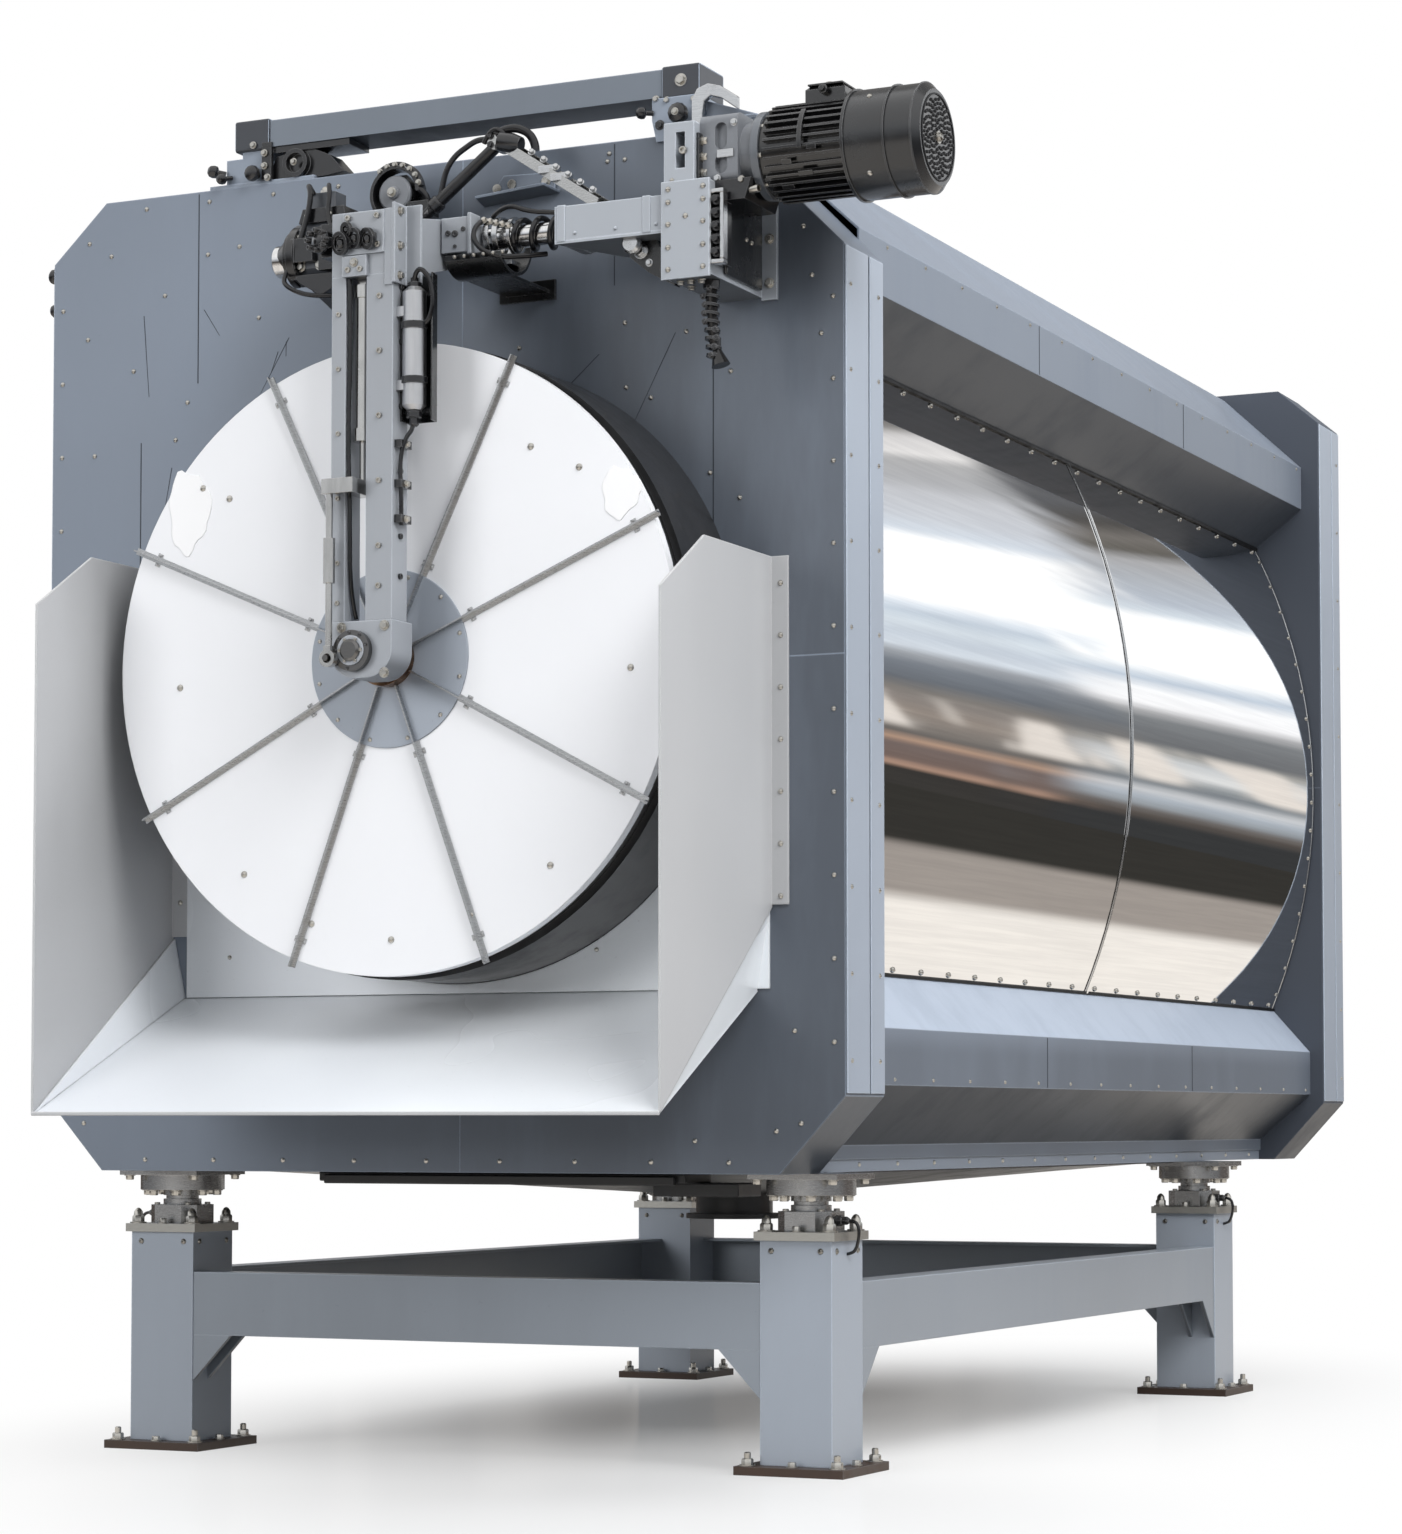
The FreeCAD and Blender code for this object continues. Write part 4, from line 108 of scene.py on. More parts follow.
class Graph:
    """The shader nodes of one material, or of the world."""

    def __init__(self, tree):
        self.tree = tree

    def node(self, kind, settings=None, inputs=None, out=0):
        made = self.tree.nodes.new(kind)
        for key, value in (settings or {}).items():
            if key == "stops":
                ramp = made.color_ramp
                while len(ramp.elements) < len(value):
                    ramp.elements.new(0.5)
                for element, (position, colour) in zip(ramp.elements, value):
                    element.position = position
                    element.color = (*colour, 1.0)
            else:
                setattr(made, key, value)
        for key, value in (inputs or {}).items():
            self.join(made.inputs[key], value)
        return None if out is None else Field(self, made.outputs[out])

    def join(self, socket, value):
        if isinstance(value, Field):
            self.tree.links.new(value.socket, socket)
        elif hasattr(socket.default_value, "__len__") and len(socket.default_value) == 4:
            socket.default_value = (*value, 1.0)[:4]
        else:
            socket.default_value = value

    def place(self, scale=(1, 1, 1), out="Object"):
        """Position on the machine, in metres, stretched by scale."""
        at = self.node("ShaderNodeTexCoord", out=out)
        return self.node("ShaderNodeVectorMath", {"operation": "MULTIPLY"}, {0: at, 1: scale})

    def noise(self, at, scale, detail=2.0, roughness=0.5):
        inputs = {"Vector": at, "Scale": scale, "Detail": detail, "Roughness": roughness}
        return self.node("ShaderNodeTexNoise", {}, inputs, out="Fac")

    def axis(self, at, letter):
        return self.node("ShaderNodeSeparateXYZ", {}, {0: at}, out=letter)

    def tint(self, factor, first, second):
        """First colour where factor is 0, second where it is 1."""
        return self.node("ShaderNodeMix", {"data_type": "RGBA"}, {0: factor, 6: first, 7: second}, 2)

    def bands(self, along, stops):
        """Colours at places from 0 to 1, blended between."""
        return self.node("ShaderNodeValToRGB", {"stops": stops}, {"Fac": along}, "Color")

    def ray(self, kind):
        return self.node("ShaderNodeLightPath", out="Is %s Ray" % kind)

    def mixed(self, factor, first, second):
        """First shader where factor is 0, second where it is 1."""
        return self.node("ShaderNodeMixShader", {}, {0: factor, 1: first, 2: second})


class Finish(Graph):
    """A node material on one Principled shader."""

    def __init__(self, name, **constants):
        self.material = bpy.data.materials.new(name)
        self.material.use_nodes = True
        super().__init__(self.material.node_tree)
        self.shader = self.tree.nodes["Principled BSDF"]
        self.set(**constants)

    def set(self, **values):
        """Sets sockets of the shader; Base_Color stands for Base Color."""
        for key, value in values.items():
            self.join(self.shader.inputs[key.replace("_", " ")], value)

    def facing(self):
        """1 on faces that look up, -1 on faces that look down."""
        return self.axis(self.node("ShaderNodeTexCoord", out="Normal"), "Z")

    def bump(self, height, distance, strength=1.0, normal=None):
        inputs = {"Height": height, "Distance": distance, "Strength": strength}
        if normal is not None:
            inputs["Normal"] = normal
        return self.node("ShaderNodeBump", {}, inputs, out="Normal")

    def rounded(self, radius):
        """Normal that rounds sharp edges off."""
        return self.node("ShaderNodeBevel", {"samples": 4}, {"Radius": radius}, out="Normal")

    def edge(self, rounded):
        """1 where the rounded normal leaves the true one."""
        true = self.node("ShaderNodeNewGeometry", out="Normal")
        match = self.node("ShaderNodeVectorMath", {"operation": "DOT_PRODUCT"}, {0: rounded, 1: true},
                          out="Value")
        return match.ramp(0.995, 0.90)


def rgb(red, green, blue):
    """Linear colour from the eye's 0 to 255 scale."""
    return tuple(v / 255 / 12.92 if v <= 10 else ((v / 255 + 0.055) / 1.055) ** 2.4
                 for v in (red, green, blue))


def shade(colour, factor, most=1.0):
    return tuple(min(most, c * factor) for c in colour)


def powder_paint(name, colour, rough=0.40, edge_wear_and_glint=0.7, coat=0.25, dust=0.2, under=0.45, painted_top_light=0.15, gloss=0.5,
                 painted_shading=None):
    """Sheet paint with a fine orange peel and dust; its lighter edges are part rubbed wear and part painted
    highlight, with painted shade on undersides and painted light on faces that look up.
    """
    m = Finish(name, Coat_Weight=coat, Coat_Roughness=0.22, Specular_IOR_Level=gloss)
    at = m.place()
    cloud = m.noise(at, 0.9, 3).ramp(0.3, 0.7)
    smear = m.noise(m.place((1.0, 1.0, 0.22)), 5.0, 5, 0.65).ramp(0.42, 0.72)
    speck = m.noise(at, 120.0, 2).ramp(0.70, 0.80)
    rounded = m.rounded(0.004)
    base = m.tint(cloud, shade(colour, 0.94), shade(colour, 1.05))
    # Painted light and shade laid on by the part's own function, where one is given.
    if painted_shading:
        base = painted_shading(m, base)
    base = m.tint(smear * dust, base, shade(colour, 1.22))
    base = m.tint(speck * 0.25, base, shade(colour, 0.6))
    # Painted shade: faces that look down are darkened, as if little light reaches them.
    base = m.tint(m.facing().ramp(-0.10, -0.65) * under, base, shade(colour, 0.10))
    # Painted light: faces that look up are lightened, as if lit from above.
    base = m.tint(m.facing().ramp(0.20, 0.60) * painted_top_light, base, shade(colour, 2.2))
    # Lighter edges: part rubbed wear, part painted highlight where the edges would catch the light.
    base = m.tint(m.edge(rounded) * edge_wear_and_glint, base, shade(colour, 2.2))
    peel = m.noise(at, 420.0, 2)
    m.set(Base_Color=base, Roughness=smear * (0.6 * dust) + cloud * 0.05 + (rough - 0.06),
          Normal=m.bump(peel, 0.0004, 0.25, rounded))
    return m.material


def panel_painted_shade(m, base):
    """Painted shade: the panel darkens towards the polished side, where less light falls on it."""
    return m.tint(m.axis(m.place(), "X").ramp(-0.6, 0.6) * 0.54, base, rgb(46, 50, 56))


def cowl_painted_light_and_shade(m, base):
    """Painted light and shade: the lower cowl's slope is painted the palest, as if lit, and the fascia below
    it painted darker, as if shaded.
    """
    height = m.axis(m.place(), "Z")
    # Painted light on the slope that faces up.
    base = m.tint(m.facing().ramp(0.20, 0.60) * height.ramp(1.4, 1.2), base, rgb(176, 187, 203))
    # Painted shade on the fascia below the slope.
    return m.tint(height.ramp(0.92, 0.86) * 0.35, base, rgb(46, 50, 56))


def bright_steel(name, colour, rough=0.28, along=(1.0, 1.0, 40.0), grain=0.10, stain=0.35):
    """Plated or turned steel with a fine directional grain and faint stains."""
    m = Finish(name, Metallic=1.0)
    streak = m.noise(m.place(along), 60.0, 3)
    stains = m.noise(m.place(), 14.0, 5, 0.7).ramp(0.55, 0.78)
    rounded = m.rounded(0.0015)
    base = m.tint(streak.ramp(0.25, 0.8), shade(colour, 0.86), shade(colour, 1.08))
    base = m.tint(stains * stain, base, shade(colour, 0.55))
    m.set(Base_Color=base, Roughness=streak * grain + stains * 0.12 + (rough - grain / 2),
          Normal=m.bump(streak, 0.0003, 0.3, rounded))
    return m.material


def dark_casting(name, colour, rough=0.5, coarse=90.0, coat=0.15):
    """Painted casting with a pebbled skin and lighter edges, part bare metal and part painted glint."""
    m = Finish(name, Coat_Weight=coat, Coat_Roughness=0.22)
    at = m.place()
    pebble = m.noise(at, coarse, 4, 0.6)
    grime = m.noise(at, 9.0, 5, 0.7).ramp(0.45, 0.75)
    rounded = m.rounded(0.002)
    base = m.tint(grime * 0.5, colour, shade(colour, 1.7))
    # Lighter edges: part bare metal, part painted glint.
    base = m.tint(m.edge(rounded) * 0.45, base, (0.30, 0.30, 0.31))
    m.set(Base_Color=base, Roughness=grime * 0.2 + (rough - 0.08),
          Normal=m.bump(pebble, 0.0006, 0.5, rounded))
    return m.material


def black_rubber(name, colour=(0.018, 0.018, 0.019), rough=0.55, coat=0.0):
    """Rubber, plastic or sealer with a faint paler bloom."""
    m = Finish(name, Specular_IOR_Level=0.35, Coat_Weight=coat, Coat_Roughness=0.12)
    at = m.place()
    bloom = m.noise(at, 11.0, 4, 0.6).ramp(0.4, 0.8)
    m.set(Base_Color=m.tint(bloom * 0.5, colour, shade(colour, 2.6)), Roughness=bloom * 0.2 + rough - 0.1,
          Normal=m.bump(m.noise(at, 300.0, 2), 0.0003, 0.3))
    return m.material


def polished_skin(name):
    """Rolled stainless sheet, near mirror, with faint rolling lines along the machine and slight waves."""
    m = Finish(name, Metallic=1.0)
    rolled = m.noise(m.place((1.0, 0.02, 1.0)), 90.0, 3, 0.6)
    broad = m.noise(m.place((0.5, 0.22, 0.5)), 2.1, 1)
    smudge = m.noise(m.place((1.0, 0.4, 1.0)), 2.4, 4, 0.6).ramp(0.50, 0.80)
    base = m.tint(rolled.ramp(0.3, 0.75), rgb(238, 238, 238), rgb(250, 250, 249))
    m.set(Base_Color=m.tint(smudge * 0.15, base, rgb(205, 203, 200)),
          Roughness=rolled * 0.02 + smudge * 0.04 + 0.015, Normal=m.bump(broad, 0.004, 0.16))
    return m.material


def door_enamel(name, colour):
    """White laminate of the door with faint scuffs and sanded patches."""
    m = Finish(name, Coat_Weight=0.12, Coat_Roughness=0.35)
    at = m.place()
    scuff = m.noise(m.place((1.0, 1.0, 0.35)), 8.0, 6, 0.7).ramp(0.60, 0.82)
    cloud = m.noise(at, 1.3, 3).ramp(0.3, 0.7)
    rounded = m.rounded(0.003)
    base = m.tint(cloud, shade(colour, 0.96), shade(colour, 1.02))
    base = m.tint(scuff * 0.22, base, shade(colour, 0.80))
    m.set(Base_Color=base, Roughness=scuff * 0.2 + 0.42,
          Normal=m.bump(m.noise(at, 200.0, 2), 0.0003, 0.2, rounded))
    return m.material


def oiled_bronze(name):
    """Bronze with darker patches of oil."""
    m = Finish(name, Metallic=1.0)
    at = m.place()
    oil = m.noise(at, 38.0, 5, 0.65).ramp(0.4, 0.7)
    rounded = m.rounded(0.0015)
    m.set(Base_Color=m.tint(oil, rgb(150, 118, 92), rgb(74, 58, 47)), Roughness=oil * 0.25 + 0.24,
          Normal=rounded)
    return m.material


FINISHES = {
    "foot_steel": dark_casting("dark foot plate", rgb(58, 44, 36), 0.55, 60.0),
    "stand_paint": powder_paint("stand paint", rgb(140, 147, 156)),
    "cap_steel": bright_steel("plated cap plate", rgb(186, 186, 182), 0.34),
    "cell_steel": bright_steel("turned load cell", rgb(170, 171, 172), 0.26, (1.0, 1.0, 60.0)),
    "panel_paint": powder_paint("front panel paint", rgb(119, 128, 141), painted_shading=panel_painted_shade),
    "frame_paint": powder_paint("casing paint", rgb(132, 141, 154)),
    "cover_paint": powder_paint("rear cover paint", rgb(124, 132, 144)),
    "skin_steel": polished_skin("polished skin"),
    "trough_steel": dark_casting("dark trough", rgb(48, 49, 51), 0.45),
    "pipe_steel": bright_steel("feed pipe steel", rgb(176, 177, 178), 0.33, (1.0, 40.0, 1.0)),
    "seal_rubber": black_rubber("seal rubber", rough=0.42, coat=0.5),
    "drum_steel": bright_steel("drum steel", rgb(160, 162, 164), 0.36, (1.0, 30.0, 1.0)),
    "ring_steel": bright_steel("riding ring steel", rgb(150, 151, 152), 0.25, (1.0, 60.0, 1.0)),
    "roller_steel": bright_steel("roller steel", rgb(150, 150, 150), 0.25, (1.0, 60.0, 1.0)),
    "cast_grey": dark_casting("grey casting", rgb(70, 73, 78)),
    "chute_paint": powder_paint("chute paint", rgb(190, 191, 193), 0.34, 0.4, dust=0.06),
    "bracket_dark": dark_casting("black bracket", rgb(19, 20, 21), 0.30, coat=0.4),
    "bracket_steel": bright_steel("plated bracket", rgb(190, 190, 188), 0.26),
    "conduit_black": black_rubber("black conduit", (0.009, 0.009, 0.010), 0.30, 0.4),
    "housing_paint": powder_paint("housing paint", rgb(163, 168, 175), under=0.7),
    "motor_grey": dark_casting("grey gear case", rgb(112, 115, 120), 0.42),
    "motor_black": dark_casting("black motor", rgb(17, 17, 18), 0.22, coat=0.7),
    "cowl_black": dark_casting("black cowl", rgb(30, 31, 33), 0.26, 200.0, 0.5),
    "beam_paint": powder_paint("beam paint", rgb(117, 124, 133), coat=0.0, under=1.0, gloss=0.15),
    "arm_paint": powder_paint("arm paint", rgb(148, 152, 158)),
    "shaft_chrome": bright_steel("chromed shaft", rgb(226, 226, 226), 0.12, (40.0, 1.0, 1.0), 0.05, 0.2),
    "rod_steel": bright_steel("ground rod", rgb(200, 199, 196), 0.20, (1.0, 1.0, 0.2)),
    "crank_steel": bright_steel("machined crank", rgb(120, 119, 118), 0.30),
    "reservoir_alloy": bright_steel("satin canister", rgb(214, 215, 217), 0.38, (1.0, 1.0, 0.1), 0.1, 0.15),
    "door_white": door_enamel("door laminate", rgb(236, 237, 240)),
    "rib_steel": bright_steel("rib steel", rgb(196, 197, 198), 0.28),
    "centre_grey": powder_paint("centre plate paint", rgb(150, 157, 167), 0.45, 0.3),
    "hub_bronze": oiled_bronze("oiled bronze"),
    "fan_plastic": black_rubber("fan plastic", (0.02, 0.02, 0.022), 0.4),
}

OWN_FINISH = {
    # A paler, bluer copy of the chute paint: painted light and reflection on the floor that faces up.
    "chute_floor": powder_paint("lit chute floor paint", rgb(242, 246, 252), 0.30, 0.3, 0.5, dust=0.0, painted_top_light=0.0),
    "motor_flange": dark_casting("motor flange casting", rgb(92, 96, 102), 0.32, coat=0.4),
    # A darker copy of the casing paint: painted shade in the recess of the rear frame.
    "rear_frame": powder_paint("shaded rear frame paint", rgb(72, 77, 86), coat=0.0, gloss=0.25),
    "side_cowls": powder_paint("cowl paint", rgb(122, 130, 142), coat=0.05, under=0.8, painted_top_light=0.0, gloss=0.3,
                               painted_shading=cowl_painted_light_and_shade),
    "leg_columns": powder_paint("column paint", rgb(160, 168, 179)),
}

# Finishes of the added pieces, each with the slot it belongs to
EXTRA = {
    "bolt_zinc": ("bracket_steel", bright_steel("zinc bolts", rgb(196, 193, 186), along=(1.0, 1.0, 1.0))),
    "bolt_black": ("bracket_dark", dark_casting("black bolts", rgb(22, 22, 24), 0.24, 200.0, 0.5)),
    "cable_black": ("conduit_black", black_rubber("cable sheath", (0.007, 0.007, 0.008), 0.28, 0.4)),
    "silver": ("bracket_steel", bright_steel("pressed bracket", rgb(206, 207, 208), 0.24)),
    "seam": ("panel_paint", black_rubber("seam sealer", rgb(46, 50, 56), 0.6)),
    # A paler copy of the casing paint: painted light on the end frames' side faces.
    "strip_paint": ("frame_paint", powder_paint("lit edge strip paint", rgb(160, 169, 182), 0.34, 0.8)),
    # Dark strips on the skin: gaps at the seam and rear end, painted shadow lines along the top and foot.
    "gap": ("trough_steel", black_rubber("dark gap and painted shadow line", (0.006, 0.006, 0.006), 0.5)),
    "door_patch": ("door_white", door_enamel("door patch", rgb(243, 243, 244))),
    "end_paint": ("beam_paint", powder_paint("beam end paint", rgb(52, 55, 61), 0.34, 0.6)),
    "grille": ("cowl_black", black_rubber("fan grille", (0.016, 0.016, 0.017), 0.55)),
}

for part in frame["record"]["subparts"]:
    node = frame["nodes"][part["node"]]
    if not node.material_slots:
        node.data.materials.append(None)
    for index in range(len(node.material_slots)):
        node.material_slots[index].material = OWN_FINISH.get(part["node"]) or FINISHES[part["material_slot"]]


# Making pieces

SHARP_EDGE = math.radians(38)


def square_to(towards):
    """Unit vectors along a direction and square to it."""
    along = Vector(towards).normalized()
    across = (X if abs(along.x) < 0.7 else Z).cross(along).normalized()
    return along, across, along.cross(across)


def around(count, turn=0.0):
    """Cosine and sine at even steps round a circle; turn is a share of one step."""
    angles = [math.tau * (k + turn) / count for k in range(count)]
    return [(math.cos(a), math.sin(a)) for a in angles]


def moved(base, place):
    """Place on the machine of a point that is given from base."""
    return Vector([a + b for a, b in zip(base, place)])


class Shape:
    """A mesh in the making; its places are in metres from base."""

    def __init__(self, base=(0, 0, 0)):
        self.mesh = bmesh.new()
        self.base = base

    def skin(self, points, faces):
        made = [self.mesh.verts.new(p) for p in points]
        for corners in faces:
            self.mesh.faces.new([made[i] for i in corners])

    def prism(self, outline, push):
        """Flat outline pushed along a vector."""
        count = len(outline)
        points = [moved(self.base, p) for p in outline]
        points += [p + Vector(push) for p in points]
        sides = [(i, (i + 1) % count, (i + 1) % count + count, i + count) for i in range(count)]
        self.skin(points, [tuple(range(count)), tuple(range(count, 2 * count))[::-1]] + sides)

    def block(self, x0, x1, y0, y1, z0, z1):
        self.prism([(x0, y0, z0), (x1, y0, z0), (x1, y0, z1), (x0, y0, z1)], (0, y1 - y0, 0))

    def plate(self, outline, y0, y1):
        """Plate whose outline is given as (x, z)."""
        self.prism([(x, y0, z) for x, z in outline], (0, y1 - y0, 0))

    def turned(self, at, towards, profile, sides):
        """Turned form: profile is (distance along, radius) points, with flat ends."""
        along, across, up = square_to(towards)
        middle = moved(self.base, at)
        points, faces = [], []
        for row, (reach, radius) in enumerate(profile):
            for i, (c, s) in enumerate(around(sides)):
                points.append(middle + along * reach + (across * c + up * s) * radius)
                if row:
                    a, b = row * sides + i, row * sides + (i + 1) % sides
                    faces.append((a - sides, b - sides, b, a))
        self.skin(points, faces + [tuple(range(sides))[::-1], tuple(range(row * sides, row * sides + sides))])

    def ring(self, at, towards, radius, thickness, sides, start=0.0, sweep=math.tau, width=None):
        """Bent bar round a line; width is its size along the line."""
        along, across, up = square_to(towards)
        middle = moved(self.base, at)
        deep, half = thickness / 2, (width or thickness) / 2
        full = abs(sweep) >= math.tau - 1e-6
        steps = sides if full else sides + 1
        section = [(-deep, -half), (deep, -half), (deep, half), (-deep, half)]
        points = []
        for i in range(steps):
            angle = start + sweep * i / sides
            out = across * math.cos(angle) + up * math.sin(angle)
            points += [middle + out * (radius + r) + along * w for r, w in section]
        faces = [(i * 4 + k, i * 4 + (k + 1) % 4, (i + 1) % steps * 4 + (k + 1) % 4, (i + 1) % steps * 4 + k)
                 for i in range(sides) for k in range(4)]
        if not full:
            faces += [(0, 1, 2, 3), tuple(steps * 4 - k for k in (1, 2, 3, 4))]
        self.skin(points, faces)

    def rivet(self, at, towards, radius=0.0065, height=0.0045):
        self.turned(at, towards, [
            (-0.0005, radius), (height * 0.35, radius * 0.93), (height * 0.75, radius * 0.62),
            (height, radius * 0.25)], 12)

    def bolt(self, at, towards, radius, height):
        """Hexagon head on a washer."""
        washer = radius * 0.22
        self.turned(at, towards, [(-0.0005, radius * 1.35), (washer, radius * 1.35)], 18)
        self.turned(at, towards, [
            (washer, radius), (washer + height * 0.82, radius), (washer + height, radius * 0.86)], 6)

    def acorn(self, at, towards, radius, height):
        """Domed nut on a washer."""
        top = height * 0.42
        self.bolt(at, towards, radius, top)
        self.turned(at, towards, [
            (top, radius * 0.80), (height * 0.75, radius * 0.72), (height * 0.93, radius * 0.42),
            (height, radius * 0.12)], 14)

    def screw(self, at, towards, radius, height):
        """Round cap screw with a hexagon socket."""
        self.turned(at, towards, [
            (-0.0005, radius), (height * 0.85, radius), (height, radius * 0.88), (height, radius * 0.52),
            (height * 0.4, radius * 0.48)], 16)

    def knob(self, at, towards, radius, length):
        """Grip on a thin stem."""
        self.turned(at, towards, [(-0.0005, radius * 0.42), (length * 0.5, radius * 0.42)], 12)
        self.turned(at, towards, [
            (length * 0.42, radius * 0.55), (length * 0.52, radius * 0.95), (length * 0.70, radius),
            (length * 0.88, radius * 0.86), (length, radius * 0.45)], 12)

    def mirrored(self):
        """Adds the same mesh on the other side of the casing's middle plane."""
        whole = self.mesh.verts[:] + self.mesh.edges[:] + self.mesh.faces[:]
        copy = bmesh.ops.duplicate(self.mesh, geom=whole)
        for item in copy["geom"]:
            if isinstance(item, bmesh.types.BMVert):
                item.co.x = -item.co.x
        return self

    def piece(self, name, finish, body="root", bevel=0.0):
        bmesh.ops.recalc_face_normals(self.mesh, faces=self.mesh.faces)
        data = bpy.data.meshes.new(name)
        self.mesh.to_mesh(data)
        self.mesh.free()
        data.shade_smooth()
        data.set_sharp_from_angle(angle=SHARP_EDGE)
        made = dressed(name, data, finish, body)
        if bevel:
            edge = made.modifiers.new("edge", "BEVEL")
            edge.width = bevel
            edge.segments = 2
            edge.limit_method = "ANGLE"
            edge.harden_normals = True


def dressed(name, data, finish, body):
    """Object that rides on a body, with the material of its finish."""
    made = bpy.data.objects.new(name, data)
    bpy.context.scene.collection.objects.link(made)
    slot, material = EXTRA.get(finish) or (finish, FINISHES[finish])
    data.materials.append(material)
    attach(made, body)
    return made


def hose(name, base, points, radius, body="root"):
    """Round cable on a smooth line through the route's points, which are taken from base."""
    data = bpy.data.curves.new(name, "CURVE")
    data.dimensions = "3D"
    data.bevel_depth = radius
    data.bevel_resolution = 3
    data.resolution_u = 8
    data.use_fill_caps = True
    line = data.splines.new("NURBS")
    line.points.add(len(points) - 1)
    for point, place in zip(line.points, points):
        point.co = (*moved(base, place), 1.0)
    line.order_u = 3
    line.use_endpoint_u = True
    dressed(name, data, "cable_black", body)


# Stand and load cells

def stand_fittings():
    """Bolts of the foot plates, caps and load cells, and the cells' leads."""
    foot_top, cap_top, base_top, flange_under, pad_under = 0.018, 0.494, 0.535, 0.568, 0.601
    foot_bolt, cap_nut, column_half, gland_z = 0.0995, 0.070, 0.080, 0.516
    nuts, plain, glands = Shape(), Shape(), Shape()
    for leg_x, leg_y in LEGS:
        sx, sy = math.copysign(1, leg_x), math.copysign(1, leg_y)
        nuts.base = plain.base = glands.base = (leg_x, leg_y, 0.0)
        for dx in (-1, 1):
            for dy in (-1, 1):
                nuts.acorn((dx * cap_nut, dy * cap_nut, cap_top), Z, 0.0135, 0.034)
                nuts.bolt((dx * 0.084, dy * 0.084, pad_under), -Z, 0.009, 0.009)
                nuts.screw((dx * 0.040, dy * 0.040, base_top), Z, 0.0065, 0.005)
                anchor = (dx * foot_bolt, dy * foot_bolt, foot_top)
                plain.bolt(anchor, Z, 0.0125, 0.012)
                plain.turned(anchor, Z, [(0.0, 0.007), (0.026, 0.007), (0.028, 0.005)], 12)
                for out in (X, -X, Y, -Y):
                    plain.rivet(out * column_half + Vector((out.y, out.x, 0)) * (dx * 0.055) + Z * 0.455, out)
            nuts.bolt((0, dx * 0.078, cap_top), Z, 0.008, 0.010)
            plain.bolt((dx * 0.1, 0, foot_top), Z, 0.009, 0.009)
            plain.bolt((0, dx * 0.1, foot_top), Z, 0.009, 0.009)
        for c, s in around(8, 0.5):
            nuts.bolt((0.077 * c, 0.077 * s, flange_under), -Z, 0.010, 0.010)
        glands.turned((sx * 0.060, 0, gland_z), X * sx, [
            (0, 0.011), (0.010, 0.011), (0.010, 0.0085), (0.020, 0.0085), (0.026, 0.005)], 8)
        lead = [(sx * x, 0, z) for x, z in (
            (0.084, gland_z), (0.102, gland_z), (0.108, 0.490), (0.100, 0.455), (0.084, 0.448),
            (0.078, 0.448))]
        hose("cell_lead_%d_%d" % (sx, sy), nuts.base, lead, 0.0035)
    nuts.piece("cell_bolts", "bolt_zinc")
    plain.piece("foot_bolts", "bolt_zinc")
    glands.piece("cell_glands", "bolt_black")


# Casing

def rows(corners, pitch):
    """Evenly spaced places along a closed outline of (x, z) corners."""
    places = []
    for i, a in enumerate(corners):
        b = corners[(i + 1) % len(corners)]
        count = max(1, round(math.dist(a, b) / pitch))
        for k in range(count):
            t = (k + 0.5) / count
            places.append((a[0] + (b[0] - a[0]) * t, a[1] + (b[1] - a[1]) * t))
    return places


def panel_outline(inset):
    """Front panel's chamfered outline, drawn in by inset."""
    side, low, high = PANEL_HALF - inset, CASING_Z + inset, PANEL_TOP - inset
    return [(0.144 - side, low), (side - 0.144, low), (side, low + 0.157), (side, high - RIGHT_CHAMFER),
            (side - 0.259, high), (0.136 - side, high), (-side, high - LEFT_CHAMFER), (-side, low + 0.157)]


PANEL_RIVETS = [(-0.30, 2.66), (-0.42, 2.45), (-0.55, 2.60), (-0.66, 2.52), (-0.60, 2.28), (-0.63, 2.20),
                (-0.56, 2.08), (-0.74, 2.36), (0.42, 2.70), (0.46, 2.70), (0.60, 2.33), (0.88, 2.42),
                (0.90, 2.30), (0.70, 2.24), (0.46, 2.36), (0.52, 2.20), (0.72, 1.98), (0.84, 0.90),
                (0.80, 0.70), (0.62, 0.68), (-0.80, 2.62), (-0.86, 2.44), (-0.84, 2.18), (-0.47, 2.61),
                (-0.10, 2.70)]
SCRATCHES = [(-0.345, 2.400, -0.415, 2.285), (-0.372, 2.372, -0.388, 2.330), (-0.352, 2.392, -0.352, 2.360),
             (-0.715, 2.480, -0.700, 2.300), (-0.560, 2.480, -0.520, 2.420), (0.575, 2.330, 0.480, 2.150),
             (-0.640, 2.140, -0.655, 2.060)]


def panel_fittings():
    """Rivets, sheet joints and scratches of the front panel."""
    rivets, seams = Shape(FRONT), Shape(FRONT)
    opening = [(DRUM.x + 0.69 * c, DRUM.z + 0.69 * s) for c, s in around(16, 0.5)]
    for x, z in rows(panel_outline(0.024), 0.17) + PANEL_RIVETS + opening:
        rivets.rivet((x, 0, z), -Y, 0.0055, 0.004)
    flush = (-0.0006, 0.001)
    for x, z0, z1 in ((-0.575, 2.32, 2.735), (0.435, 2.44, 2.735), (0.66, 1.90, 2.36), (-0.72, 1.86, 2.20)):
        seams.block(x, x + 0.0022, *flush, z0, z1)
    seams.plate([(0.400, 2.30), (0.402, 2.30), (0.180, 2.11), (0.178, 2.11)], *flush)
    for x0, z0, x1, z1 in SCRATCHES:
        seams.plate([(x0, z0), (x0 + 0.0016, z0), (x1 + 0.0008, z1), (x1, z1)], *flush)
    rivets.piece("panel_rivets", "bolt_zinc")
    seams.piece("panel_seams", "seam")


